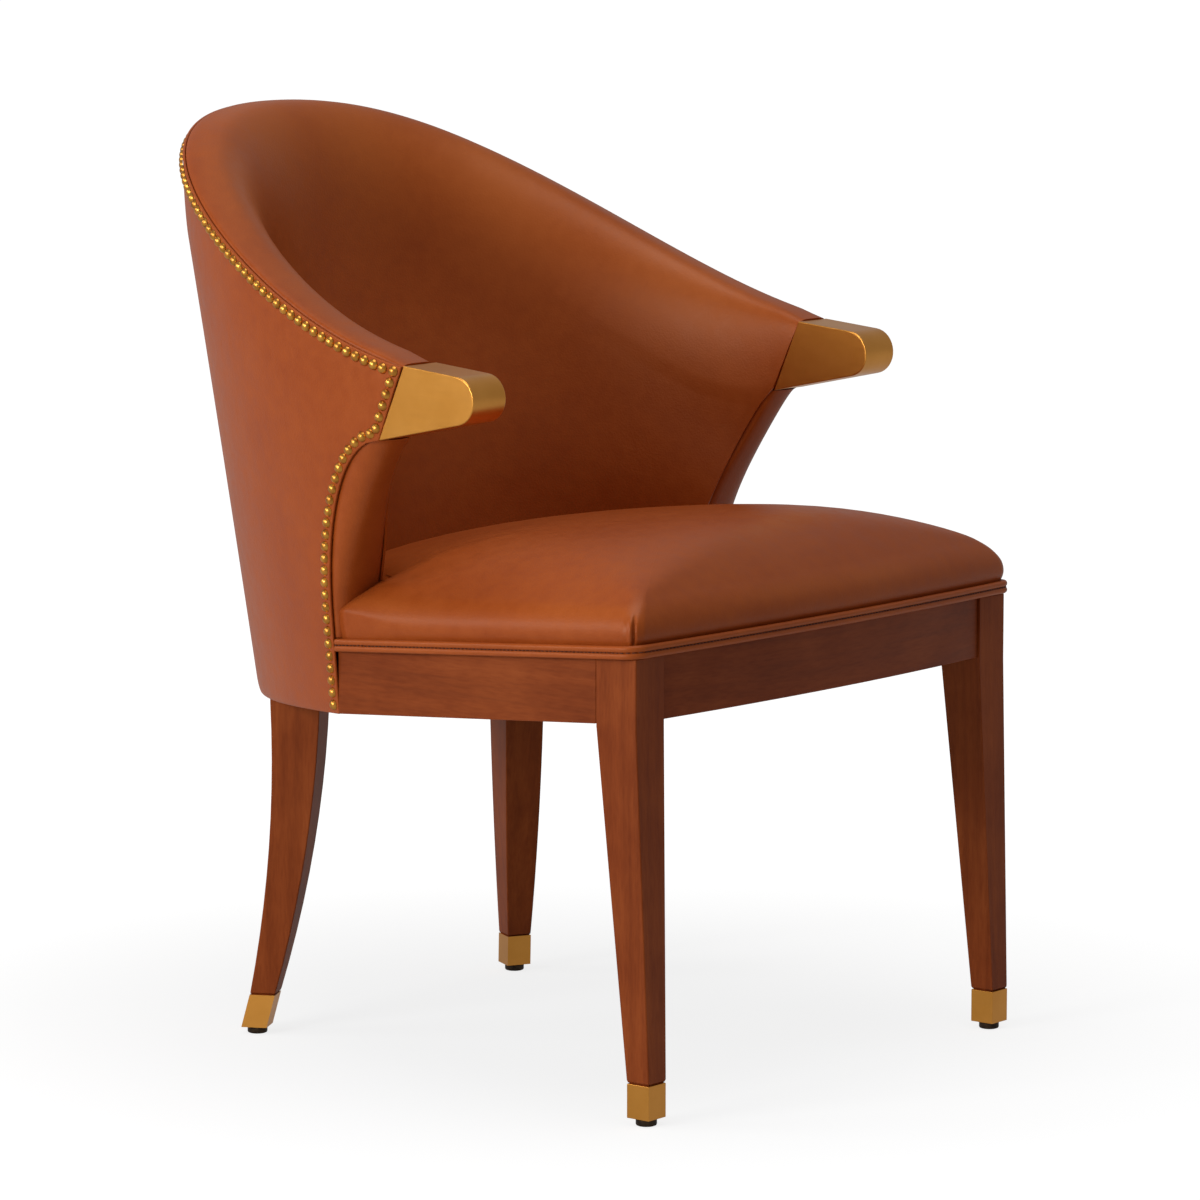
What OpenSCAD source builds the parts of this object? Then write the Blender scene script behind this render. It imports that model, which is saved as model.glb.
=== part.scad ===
// Barrel-backed armchair: leather shell on a hardwood frame, brass arm caps and
// ferrules, a crowned tight seat and a row of domed nails round the shell.
// The floor is z = 0, the front faces -Y and the chair is symmetric about x = 0.

/* [Overall] */
// Depth from the front of the seat to the nail heads at the back
overall_d = 674; // [640:1:720]
// Height of the arm caps above the floor
arm_h = 630; // [605:1:660]
// Height of the crest at the middle of the back
back_h = 829; // [790:1:880]
// Height of the rails' top edge at the front legs
rail_top_z = 408; // [395:1:420]
// Backward tilt of the seat frame in degrees
seat_tilt = 4; // [2:0.5:6]

/* [Front legs and rails] */
// Distance of the legs' outer faces in from the shell's low side
leg_inset = 28.7; // [20:0.1:36]
// Width of a front leg at the rails
leg_w = 38; // [34:1:44]
// Depth of a front leg at the rails
leg_d = 40; // [36:1:44]
// How far a front leg stands ahead of the rail's ends, below the welt
leg_proud = 2.5; // [0:0.5:4]
// Width of a foot at the floor, front and rear
foot_w = 23.4; // [21:0.2:26]
// How far a front foot stands ahead of the rails
leg_rake = 13; // [0:1:25]
// How far a front foot stands in from the leg's outer face
foot_in = 4.4; // [0:0.2:8]
// Height of the rails
rail_h = 66; // [55:1:75]
// Thickness of the rails
rail_t = 24; // [18:1:28]
// How far the front rail bows forward in its middle
front_bow = 13; // [0:1:20]

/* [Rear legs] */
// Place of the rear legs across, as a share of the shell's low half width
rear_leg_share = 0.516; // [0.496:0.002:0.53]
// Distance of the rear legs' middle in front of the shell's low back
rear_leg_in = 121.3; // [116:0.1:132]
// Width of a rear leg at the rails
rear_leg_w = 38.5; // [34:0.5:40]
// Depth of a rear leg at the rails
rear_leg_d = 46; // [42:0.5:47]
// Turn of a rear leg about its own height in degrees
rear_leg_turn = 28; // [24:1:32]
// Sideways sweep of a rear leg from its top to the floor
rear_sweep_x = 31; // [15:1:40]
// Backward sweep of a rear leg from its top to the floor
rear_sweep_y = 29.5; // [15:0.5:45]

/* [Shell plan] */
// Half width of the shell's outline low down
low_half_w = 294.7; // [288:0.1:300]
// Half width of the shell's outline at the crest
high_half_w = 303; // [298:1:312]
// Reach of the low outline's half ellipse towards the back
low_reach = 469; // [455:1:485]
// Reach of the high outline's half ellipse towards the back
high_reach = 339; // [325:1:350]
// How much fuller than an ellipse the outline grows towards the crest
fullness = 0.16; // [0:0.02:0.2]
// How much further back the crest stands than the bottom of the shell
back_lean = 61.6; // [50:0.1:75]
// How far the shell tucks in under its top edge at the back
top_tuck = 8; // [4:0.5:12]
// Height of the band that tucks in
tuck_h = 66; // [45:1:80]
// Depth from the front legs' front faces to the shell's front edge
panel_set = 327.4; // [318:0.2:335]

/* [Shell wall] */
// Thickness of the outside leather
leather_t = 2.4; // [1.6:0.1:3]
// Thickness of the board behind the outside leather
board_t = 3; // [2:0.5:4]
// Width of the crest over the arm caps
crest_w_arm = 43; // [38:1:48]
// Width of the crest round the back
crest_w_back = 60; // [54:1:66]
// Thickness of the wall beside the seat
wall_low_arm = 55; // [50:1:58]
// Thickness of the wall behind the seat
wall_low_back = 105; // [90:1:115]
// How far the inside padding swells between seat and crest
inside_swell = 7; // [0:1:12]
// Rise of the padding over the crest at the arms
crest_rise = 5; // [3:0.5:6]
// Rise of the padding over the crest at the middle of the back
crest_rise_back = 2; // [1:0.5:4]
// How far the facing's inner seam stands ahead of its outer edge
facing_lead = 10; // [4:1:16]

/* [Shell frame] */
// Thickness of the crest rail and posts across the wall
frame_t = 24; // [20:1:25]
// Height of the crest rail
crest_rail_h = 40; // [30:1:42]
// Depth of an arm post at the seat
post_d = 46; // [36:1:56]
// Width of a back post round the shell, in degrees of its ellipse
back_post_deg = 8; // [6:0.5:10]
// Place of the back posts round the shell, in degrees of its ellipse
back_post_at = 70; // [66:0.5:74]
// Height of a webbing band
band_h = 45; // [30:1:50]

/* [Seat] */
// Height of the seat's boxed edge above the rails
seat_edge_h = 23; // [18:1:28]
// Rise of the seat's crown above its boxed edge
seat_crown = 60; // [40:1:70]
// Thickness of the seat's leather
seat_leather_t = 1.7; // [1.2:0.1:2.5]
// Radius of each cord of the double welt
welt_r = 2.9; // [2:0.1:3.4]
// Radius of the seat's front corners
seat_corner_r = 12; // [6:1:20]
// Thickness of the webbing
webbing_t = 2; // [1.5:0.5:3]
// Width of a seat web
web_w = 50; // [40:1:60]

/* [Arm caps] */
// Width of an arm cap
cap_w = 42.6; // [38:0.2:46]
// Radius of an arm cap's nose
cap_nose_r = 20.8; // [18:0.2:24]
// Height of a cap's heel, the low point of its back face
cap_heel_z = 564.5; // [555:0.5:575]
// Depth from the front legs' front faces to a cap's heel
cap_heel_set = 251.4; // [240:0.2:262]
// Depth from the front legs' front faces to the top of a cap's back face
cap_back_set = 223.4; // [210:0.2:235]
// Depth from the front legs' front faces to the centre of a cap's nose
cap_nose_set = 166.4; // [150:0.2:180]
// Height of the centre of a cap's nose
cap_nose_z = 603.5; // [598:0.5:608]
// Diameter of the studs that hold a cap
stud_d = 8; // [6:1:10]
// Spacing of a cap's two studs
stud_pitch = 20; // [16:1:24]
// Length of a stud
stud_len = 44; // [30:1:50]

/* [Feet] */
// Height of the ferrules' top edge
ferrule_top_z = 36; // [28:1:45]
// Height of the ferrules' lower edge
ferrule_low_z = 6.5; // [5:0.5:10]
// Wall of a ferrule
ferrule_wall = 1.2; // [0.8:0.1:1.6]
// Diameter of a glide
glide_d = 18; // [16:1:20]
// Diameter of a glide's threaded stem
stem_d = 6; // [5:0.5:8]
// Height of a glide's threaded insert
insert_h = 16; // [12:1:20]
// Outer diameter of a glide's threaded insert
insert_d = 10; // [9.5:0.5:12]
// How far a glide screws out
glide_travel = 8; // [4:1:10]

/* [Fastenings and trim] */
// Diameter of a nail head
nail_d = 9.5; // [8:0.5:10.5]
// Rise of a nail head
nail_rise = 3.4; // [2.6:0.1:3.8]
// Spacing of the nails
nail_pitch = 10.8; // [10.6:0.1:13]
// Distance of the nails from the shell's edges
nail_inset = 7; // [6:0.5:9]
// Diameter of the rail dowels
dowel_d = 10; // [8:1:12]
// Length of the rail dowels
dowel_len = 44; // [30:2:50]
// Diameter of the corner block screws
screw_d = 4; // [3:0.5:5]

/* [Hidden] */
$fn = 48;

// Clearances: between curved neighbours, between seated pieces, and round a pin
gap = 0.3;
seat_gap = 0.15;
fit_gap = 0.05;
far = 1000;

function mix(a, b, t) = a + (b - a) * t;

// Depths along Y, from the front of the welt to the back
welt_proud = gap + seat_leather_t + seat_gap + 2 * welt_r;
front_y = -overall_d / 2;
leg_front_y = front_y + front_bow + welt_proud;
panel_y = leg_front_y + panel_set;
cap_heel_y = leg_front_y + cap_heel_set;
cap_back_y = leg_front_y + cap_back_set;
cap_nose_y = leg_front_y + cap_nose_set;

// The shell's outline is a half ellipse on straight arms, and changes evenly with height
plan_low_z = 330;
tuck_power = 1.4;
nail_tuck = top_tuck * pow(1 - nail_inset / tuck_h, tuck_power);
high_back_y = overall_d / 2 - seat_gap - nail_rise + nail_tuck
    + back_lean * nail_inset / (back_h - plan_low_z);
low_back_y = high_back_y - back_lean;
rear_leg_y = low_back_y - rear_leg_in;
rear_leg_x = low_half_w * rear_leg_share;
leg_outer_x = low_half_w - leg_inset;
function rise(z) = (z - plan_low_z) / (back_h - plan_low_z);
function half_w(z) = low_half_w + (high_half_w - low_half_w) * rise(z);
function reach(z) = low_reach + (high_reach - low_reach) * rise(z);
function mid_y(z) = low_back_y + back_lean * rise(z) - reach(z);
// A point of the wall: a turn round the outline, a height and a depth into the wall
function full_pow(v, p) = sign(v) * pow(abs(v), p);
function plan_power(z) = 2 / (2 + fullness * rise(z));
function wall(turn, z, w) = let (p = plan_power(z))
    [(half_w(z) - w) * full_pow(cos(max(turn, 0)), p),
    mid_y(z) + (reach(z) - w) * full_pow(sin(turn), p), z];
// The turn at which the outline, w into the wall, passes a given y
function turn_at(y, z, w = 0) =
    asin(max(-1, min(1, full_pow((y - mid_y(z)) / (reach(z) - w), 1 / plan_power(z)))));

// The crest climbs from the arms to the back in one S-shaped sweep along Y
arm_slope = 0.4;
back_slope = 1.15;
seam_w = 2;
top_back_y = high_back_y - top_tuck - seam_w;
function crest_at(y) = let (t = (y - cap_back_y) / (top_back_y - cap_back_y))
    arm_h + (back_h - arm_h) * ((t * t * t - 2 * t * t + t) * arm_slope
    + (3 - 2 * t) * t * t + (t * t * t - t * t) * back_slope);
function seam_y(turn, z) = wall(turn, z, seam_w + tuck(turn, 0))[1];
// Height of a line that runs a given drop under the seam, found in a few steps
crest_steps = 6;
function under_crest(turn, drop, z = arm_h, n = crest_steps) =
    n == 0 ? z : under_crest(turn, drop, crest_at(seam_y(turn, z)) - drop, n - 1);
function crest_z(turn) = under_crest(turn, 0);
arm_turn = turn_at(cap_back_y, arm_h);
function tuck(turn, drop) =
    top_tuck * sin(max(turn, 0)) * pow(max(0, 1 - drop / tuck_h), tuck_power);

// Front edge of the shell: upright beside the seat, swept forward to the cap's heel, then
// along the cap's back face
curve_low_z = 408;
cap_top_z = arm_h;
function cap_face_y(z) =
    cap_heel_y + (cap_back_y - cap_heel_y) * (z - cap_heel_z) / (cap_top_z - cap_heel_z);
function sweep_share(z) =
    let (t = min(1, max(0, (z - curve_low_z) / (cap_heel_z - curve_low_z)))) 1 - sqrt(1 - t * t);
function edge_y(z) =
    z < cap_heel_z ? panel_y - (panel_y - cap_heel_y) * sweep_share(z) : cap_face_y(z) + gap;
// The facing's inner seam stands ahead of that edge and sweeps forward sooner
lead_low_z = 400;
lead_power = 1.62;
function inner_y(z) = let (t = max(0, (z - lead_low_z) / (cap_heel_z - lead_low_z)))
    z < cap_heel_z ? mix(panel_y - facing_lead, cap_heel_y, pow(t, lead_power)) : edge_y(z);
function facing_y(z, w) = mix(edge_y(z), inner_y(z), min(1, w / wall_low_arm));

// The seat frame's planes: heights above the tilted plane of the rails' top
function plane_z(y, h = 0) = rail_top_z + h / cos(seat_tilt) - (y - leg_front_y) * tan(seat_tilt);
module between_planes(low, high) {
    intersection() {
        children();
        translate([0, leg_front_y, rail_top_z]) rotate([-seat_tilt, 0, 0])
            translate([-far, -far, low]) cube([2 * far, 2 * far, high - low]);
    }
}

// Solids from grids of points: rows run upwards and columns run counter-clockwise
function flat(rows) = [for (row = rows) for (p = row) p];
function band_faces(r, c, o, wrap, inward) =
    [for (i = [0 : r - 2]) for (j = [0 : (wrap ? c - 1 : c - 2)])
        let (a = o + i * c + j, b = o + i * c + (j + 1) % c, d = a + c, e = b + c)
        each (inward ? [[a, b, e], [a, e, d]] : [[a, d, e], [a, e, b]])];
function rim_faces(a, b, n, wrap) =
    [for (j = [0 : (wrap ? n - 1 : n - 2)]) let (k = (j + 1) % n)
        each [[a[j], a[k], b[k]], [a[j], b[k], b[j]]]];
module slab(outer, inner) {
    r = len(outer);
    c = len(outer[0]);
    n = r * c;
    top = [for (j = [c - 1 : -1 : 0]) n - c + j];
    left = [for (i = [r - 1 : -1 : 0]) i * c];
    right = [for (i = [0 : r - 1]) i * c + c - 1];
    bottom = [for (j = [0 : c - 1]) j];
    sides = [for (s = [top, left, right, bottom])
        each rim_faces(s, [for (k = s) k + n], len(s), false)];
    polyhedron(concat(flat(outer), flat(inner)),
        concat(band_faces(r, c, 0, false, false), band_faces(r, c, n, false, true), sides));
}
// A solid of stacked closed rings
module stack(rings) {
    r = len(rings);
    c = len(rings[0]);
    polyhedron(flat(rings), concat(band_faces(r, c, 0, true, false),
        [[for (j = [0 : c - 1]) j], [for (j = [c - 1 : -1 : 0]) (r - 1) * c + j]]));
}
// An open-bottomed skin between two stacks of rings
module skin(outer, inner) {
    r = len(outer);
    c = len(outer[0]);
    n = r * c;
    bottom = [for (j = [0 : c - 1]) j];
    polyhedron(concat(flat(outer), flat(inner)),
        concat(band_faces(r, c, 0, true, false), band_faces(r, c, n, true, true),
        rim_faces(bottom, [for (k = bottom) k + n], c, true),
        [[for (j = [c - 1 : -1 : 0]) n - c + j], [for (j = [0 : c - 1]) 2 * n - c + j]]));
}
function box_ring(cx, cy, w, d, z, turn = 0) =
    let (u = [cos(turn), -sin(turn)], v = [sin(turn), cos(turn)])
    [for (s = [[-1, -1], [1, -1], [1, 1], [-1, 1]])
        let (p = [cx, cy] + u * s[0] * w / 2 + v * s[1] * d / 2) [p[0], p[1], z]];
module left_side() { children(); }
module right_side() { mirror([1, 0, 0]) children(); }

// Front legs
leg_in_x = leg_outer_x - leg_w;
leg_back_y = leg_front_y + leg_d;
foot_x = leg_outer_x - foot_in - foot_w / 2;
foot_y = leg_front_y - leg_rake + foot_w / 2;
leg_mid_x = leg_outer_x - leg_w / 2;
proud_mid_y = leg_front_y + (leg_d - leg_proud) / 2;
// The legs keep their full section to a little under the rails
join_drop = 2;
rail_low_z = plane_z(leg_back_y, -rail_h) - join_drop;
neck_gap = 1.2;
tenon_w = foot_w - 2 * ferrule_wall - 2 * gap;
tenon_low_z = ferrule_low_z + ferrule_wall + gap;
insert_top_z = tenon_low_z + insert_h;
module stem_bore(x, y) {
    translate([x, y, 0]) cylinder(h = insert_top_z + glide_travel, d = insert_d + 2 * fit_gap);
}
module front_leg() {
    difference() {
        union() {
            between_planes(-far, welt_low_h - welt_r - gap) stack([
                box_ring(foot_x, foot_y, tenon_w, tenon_w, tenon_low_z),
                box_ring(foot_x, foot_y, tenon_w, tenon_w, ferrule_top_z + neck_gap),
                box_ring(foot_x, foot_y, foot_w, foot_w, ferrule_top_z + neck_gap),
                box_ring(leg_mid_x, proud_mid_y, leg_w, leg_d + leg_proud, rail_low_z),
                box_ring(leg_mid_x, proud_mid_y, leg_w, leg_d + leg_proud, rail_top_z + leg_d)]);
            between_planes(-rail_h / 2, -seat_gap) translate([leg_in_x, leg_front_y, rail_low_z])
                cube([leg_w, leg_d, far]);
        }
        stem_bore(foot_x, foot_y);
        dowels(fit_gap);
        corner_relief();
    }
}
// Behind the seat's rounded corner the leg's own corner is taken off, hidden by the welt
module corner_relief() {
    side = seat_corner_r * 1.1;
    between_planes(welt_low_h - welt_r, far) translate([leg_outer_x, leg_front_y, rail_low_z])
        rotate([0, 0, 45]) translate([-side / 2, -side / 2, 0]) cube([side, side, far]);
}
module front_leg_left() { color("#6e3420") left_side() front_leg(); }
module front_leg_right() { color("#6e3420") right_side() front_leg(); }

// Rear legs: a square sabre leg that sweeps out and back to its foot
rear_join_z = plane_z(rear_leg_y + rear_leg_d, -rail_h) - join_drop;
rear_rings = 10;
function rear_share(z) = pow((rear_join_z - z) / rear_join_z, 2);
function rear_x(z) = rear_leg_x + rear_sweep_x * rear_share(z);
function rear_y(z) = rear_leg_y + rear_sweep_y * rear_share(z);
function rear_ring(z, shave = 0) =
    let (s = max(0, (z - ferrule_top_z) / (rear_join_z - ferrule_top_z)))
    box_ring(rear_x(z), rear_y(z), foot_w + (rear_leg_w - foot_w) * (1 - pow(1 - s, 2)) - shave,
        foot_w + (rear_leg_d - foot_w) * s - shave, z, rear_leg_turn);
rear_foot_x = rear_x(tenon_low_z);
rear_foot_y = rear_y(tenon_low_z);
module rear_leg_block(top = 0) {
    between_planes(-far, top) translate([rear_leg_x, rear_leg_y, rear_join_z])
        rotate([0, 0, -rear_leg_turn]) translate([-rear_leg_w / 2, -rear_leg_d / 2, 0])
        cube([rear_leg_w, rear_leg_d, far]);
}
module rear_leg() {
    neck = ferrule_top_z + neck_gap;
    difference() {
        union() {
            stack(concat([rear_ring(tenon_low_z, foot_w - tenon_w), rear_ring(neck, foot_w - tenon_w)],
                [for (i = [0 : rear_rings]) rear_ring(neck + (rear_join_z - neck) * i / rear_rings)]));
            rear_leg_block();
        }
        stem_bore(rear_foot_x, rear_foot_y);
    }
}
module rear_leg_left() { color("#6e3420") left_side() rear_leg(); }
module rear_leg_right() { color("#6e3420") right_side() rear_leg(); }

// Rails: upright prisms between the legs, cut along the tilted planes
rail_wall_z = plane_z(low_back_y, -rail_h);
rail_skin = leather_t + gap;
function rail_curve(from, to, w, n) =
    [for (i = [0 : n]) let (p = wall(from + (to - from) * i / n, rail_wall_z, w)) [p[0], p[1]]];
bow_steps = 12;
function bow_y(x, half) = -front_bow * (1 - pow(x / half, 2));
module front_rail() {
    color("#5f2c1a") difference() {
        between_planes(-rail_h, 0) linear_extrude(far) polygon(concat(
            [for (i = [0 : bow_steps]) let (x = -leg_in_x + 2 * leg_in_x * i / bow_steps)
                [x, leg_front_y + bow_y(x, leg_in_x)]],
            [[leg_in_x, leg_front_y + rail_t], [-leg_in_x, leg_front_y + rail_t]]));
        both_sides() dowels(fit_gap);
        both_sides() screws(fit_gap);
    }
}
rail_turn = turn_at(panel_y, rail_wall_z, rail_skin);
side_end_turn = turn_at(rear_leg_y + rear_leg_d * 0.2, rail_wall_z, rail_skin);
side_steps = 10;
rail_in_x = leg_outer_x - rail_t;
block_leg = 48;
// Straight beside the seat, with a step in behind the panel's edge, then bent with the shell
panel_clear = gap + facing_lead * leather_t / wall_low_arm;
side_lap = 4;
module side_rail() {
    difference() {
        between_planes(-rail_h, 0) linear_extrude(far) polygon(concat(
            [[rail_in_x, leg_back_y], [leg_outer_x, leg_back_y], [leg_outer_x, step_y],
            [wall(rail_turn, rail_wall_z, rail_skin)[0], step_y]],
            rail_curve(rail_turn, side_end_turn, rail_skin, side_steps),
            rail_curve(side_end_turn + side_lap, rail_turn, rail_skin + rail_t, side_steps),
            [[rail_in_x, leg_back_y + block_leg + rail_t]]));
        rear_leg_block(far);
        roll_relief();
        dowels(fit_gap);
        screws(fit_gap);
    }
}
// The bent rails stand back at the bottom to take the rolled leather
roll_r = 10;
step_x = wall(rail_turn, rail_wall_z, rail_skin + roll_r)[0];
step_y = panel_y - panel_clear;
module roll_relief() {
    between_planes(-2 * rail_h, roll_r + 1 - rail_h) linear_extrude(far) difference() {
        translate([-far, step_y]) square(2 * far);
        polygon(concat([[-step_x, -far], [step_x, -far]],
            rail_curve(rail_turn, 180 - rail_turn, rail_skin + roll_r, 2 * side_steps)));
    }
}
module side_rail_left() { color("#7a3a22") left_side() side_rail(); }
module side_rail_right() { color("#7a3a22") right_side() side_rail(); }
back_from = side_end_turn + 2.5;
module back_rail() {
    color("#7a5236") difference() {
        between_planes(-rail_h, 0) linear_extrude(far) polygon(concat(
            rail_curve(back_from, 180 - back_from, rail_skin, 2 * side_steps),
            rail_curve(180 - back_from, back_from, rail_skin + rail_t, 2 * side_steps)));
        both_sides() rear_leg_block(far);
        roll_relief();
    }
}
module both_sides() {
    children();
    mirror([1, 0, 0]) children();
}

// Corner blocks, their screws and the rail dowels
block_drop = 10;
block_h = 40;
rail_back_y = leg_front_y + rail_t;
module corner_block() {
    difference() {
        between_planes(-block_drop - block_h, -block_drop) linear_extrude(far) polygon([
            [leg_in_x - block_leg, rail_back_y], [leg_in_x, rail_back_y], [leg_in_x, leg_back_y],
            [rail_in_x, leg_back_y], [rail_in_x, leg_back_y + block_leg]]);
        screws(fit_gap);
    }
}
module corner_block_left() { color("#a97f52") left_side() corner_block(); }
module corner_block_right() { color("#a97f52") right_side() corner_block(); }
screw_grip = 14;
screw_head_h = 3;
screw_seat = 12;
screw_x = leg_in_x - block_leg / 2;
screw_y = leg_back_y + block_leg / 2;
screw_low = block_drop + block_h / 3;
// A screw that points along -Z from its head, widened by a clearance when it cuts a bore
module screw(extra) {
    head_len = extra > 0 ? block_leg : screw_head_h;
    translate([0, 0, -screw_seat - screw_grip])
        cylinder(h = screw_seat + screw_grip, d = screw_d + 2 * extra);
    cylinder(h = head_len, d = 2 * screw_d + 2 * extra);
}
module screws(extra = 0) {
    for (drop = [screw_low, block_drop + block_h * 2 / 3]) {
        translate([screw_x, rail_back_y + screw_seat, plane_z(rail_back_y, -drop)])
            rotate([-90, 0, 0]) screw(extra);
        translate([rail_in_x - screw_seat, screw_y, plane_z(screw_y, -drop)])
            rotate([0, -90, 0]) screw(extra);
    }
}
module block_screws() { color("#9a9a9a") both_sides() screws(); }
dowel_low = rail_h * 0.3;
dowel_high = rail_h * 0.72;
side_dowel_len = dowel_len * 0.7;
side_dowel_drop = 7;
module dowels(extra = 0) {
    for (drop = [dowel_low, dowel_high]) {
        translate([leg_in_x - dowel_len / 2, leg_front_y + rail_t / 2, plane_z(leg_front_y, -drop)])
            rotate([0, 90, 0]) cylinder(h = dowel_len + 2 * extra, d = dowel_d + 2 * extra);
        translate([rail_in_x + rail_t / 2, leg_back_y - side_dowel_len / 2,
            plane_z(leg_back_y, -drop - side_dowel_drop)]) rotate([-90, 0, 0])
            cylinder(h = side_dowel_len + 2 * extra, d = dowel_d + 2 * extra);
    }
}
module rail_dowels() { color("#c9a26e") both_sides() dowels(); }

// Places inside the shell's wall, from the outside leather inwards
lining = 1;
board_w = leather_t + lining;
frame_w = board_w + board_t + 2 * gap;
crest_drop = 12;
nail_drop = nail_inset + 1;
facing_t = 9;
columns = 12;
function front_turn(z, w, set) = turn_at(facing_y(z, w) + max(set, seat_gap), z, w);
// A row runs from the left front edge round the back to the right one
function mirrored(half) =
    concat(half, [for (j = [len(half) - 2 : -1 : 0]) [-half[j][0], half[j][1], half[j][2]]]);

// Outside of the shell: share 0 is the bottom edge and share 1 the top edge
panel_low_z = plane_z(panel_y, -rail_h);
panel_top_z = arm_h - 1;
edge_steps = 6;
low_share = 0.6;
tuck_shares = [0.35, 0.7, 0.88, 1];
panel_rows = concat([for (k = [0 : 2]) panel_low_z + roll_r * k * k / 4],
    [mix(panel_low_z, curve_low_z, low_share)],
    [for (k = [0 : edge_steps]) mix(curve_low_z, cap_heel_z, sin(90 * k / edge_steps))],
    [for (t = tuck_shares) mix(cap_heel_z, panel_top_z, t)]);
function top_turn(u) = mix(arm_turn, 90, u);
// The bottom edge is rolled under the rails, starting a little behind the front edge
roll_steps = 6;
roll_in = 2.5;
function roll_w(h) = h > roll_r ? 0 : roll_in * (1 - sqrt(1 - pow(1 - h / roll_r, 2)));
function outside_point(u, share, w, set, low, drop, roll) =
    let (zf = mix(plane_z(panel_y, low), arm_h - drop, share), turn = mix(front_turn(zf, w, set), 90, u),
        y_low = wall(mix(rail_turn, 90, u), plan_low_z, w)[1],
        top = crest_z(top_turn(u)) - drop, z = mix(plane_z(y_low, low), top, share),
        rolled = roll * min(1, roll_steps * u) * roll_w(zf - panel_low_z))
    wall(turn, z, w + rolled + tuck(turn, top + drop - z));
function outside_rows(w, set, low, drop, rows, roll = 0) = [for (z = rows)
    let (share = (z - rows[0]) / (rows[len(rows) - 1] - rows[0]))
    mirrored([for (j = [0 : columns]) outside_point(j / columns, share, w, set, low, drop, roll)])];
module outside_cover() {
    color("#9b4826") slab(outside_rows(0, 0, -rail_h, 1, panel_rows, 1),
        outside_rows(leather_t, 0, -rail_h, 1, panel_rows, 1));
}
facing_clear = 5;
board_set = facing_t + facing_clear;
board_rows = [for (k = [2 : len(panel_rows) - 1]) panel_rows[k]];
module outside_board() {
    color("#b08a5c") slab(outside_rows(board_w, board_set, 2 * gap, crest_drop, board_rows),
        outside_rows(board_w + board_t, board_set, 2 * gap, crest_drop, board_rows));
}

// Crest rail: one bent rail from cap to cap, with a bore in each end for the studs
stud_z = [cap_nose_z - stud_pitch / 2, cap_nose_z + stud_pitch / 2];
stud_x = half_w(arm_h) - frame_w - frame_t / 2;
function rail_row(w, drop) = mirrored([for (j = [0 : columns])
    let (turn = mix(front_turn(arm_h - drop, w, seat_gap), 90, j / columns))
    wall(turn, under_crest(turn, drop), w + tuck(turn, crest_drop))]);
module studs(extra = 0) {
    for (z = stud_z) translate([stud_x, cap_face_y(z) - stud_len / 2 - extra, z])
        rotate([-90, 0, 0]) cylinder(h = stud_len + 2 * extra, d = stud_d + 2 * extra);
}
crest_low = crest_drop + crest_rail_h;
module crest_rail() {
    color("#b08a5c") difference() {
        slab([rail_row(frame_w, crest_low), rail_row(frame_w, crest_drop)],
            [rail_row(frame_w + frame_t, crest_low), rail_row(frame_w + frame_t, crest_drop)]);
        both_sides() studs(fit_gap);
    }
}
module cap_studs() { color("#9a9a9a") both_sides() studs(); }

// Posts stand on the rails and meet the crest rail's underside
post_drop = crest_low + 2 * gap;
post_out_w = frame_w + lining;
post_in_w = frame_w + frame_t - lining;
post_cols = 4;
post_rows = 8;
post_back_y = panel_y + facing_t + post_d;
function post_top_z(y, w, z = cap_heel_z, n = crest_steps) =
    n == 0 ? z : post_top_z(y, w, under_crest(turn_at(y, z, w), post_drop), n - 1);
function post_front_y(z, w) = facing_y(min(z, cap_heel_z), w) + facing_t + facing_clear;
function post_point(i, j, w) =
    let (t = j / post_cols, top = post_top_z(mix(post_front_y(cap_heel_z, w), post_back_y, t), w),
        low = plane_z(mix(post_front_y(panel_low_z, w), post_back_y, t), seat_gap),
        s = sin(90 * i / post_rows), z = mix(low, top, s), y = mix(post_front_y(z, w), post_back_y, t))
    wall(turn_at(y, z, w), z, w);
module arm_post() {
    slab([for (i = [0 : post_rows]) [for (j = [0 : post_cols]) post_point(i, j, post_out_w)]],
        [for (i = [0 : post_rows]) [for (j = [0 : post_cols]) post_point(i, j, post_in_w)]]);
}
module arm_post_left() { color("#a97f52") left_side() arm_post(); }
module arm_post_right() { color("#a97f52") right_side() arm_post(); }
function back_post_row(w, top) = [for (j = [0 : 2])
    let (turn = back_post_at + back_post_deg * (j / 2 - 0.5),
        low = plane_z(wall(turn, plan_low_z, w)[1], seat_gap))
    wall(turn, top ? under_crest(turn, post_drop) : low, w)];
module back_post() {
    slab([back_post_row(post_out_w, false), back_post_row(post_out_w, true)],
        [back_post_row(post_in_w, false), back_post_row(post_in_w, true)]);
}
module back_post_left() { color("#a97f52") left_side() back_post(); }
module back_post_right() { color("#a97f52") right_side() back_post(); }

// Inside of the shell: share 0 to 1 climbs the padding, and 1 to 2 goes over the crest
shoulder_arm = 14;
shoulder_back = 46;
shoulder_out = 3;
crest_round = 0.55;
crest_round_back = 0.95;
cap_flush = 3.6;
top_w = seam_w + 2 * gap;
deck_h = webbing_t + gap;
function crest_w(u) = mix(crest_w_arm, crest_w_back, pow(sin(90 * min(1, u * 2)), 0.7));
function shoulder_in(u) = mix(shoulder_arm, shoulder_back, pow(sin(90 * u), 1.5));
function round_in(u, a) = a < 90 ? mix(crest_round, crest_round_back, sin(90 * u)) : crest_round;
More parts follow.
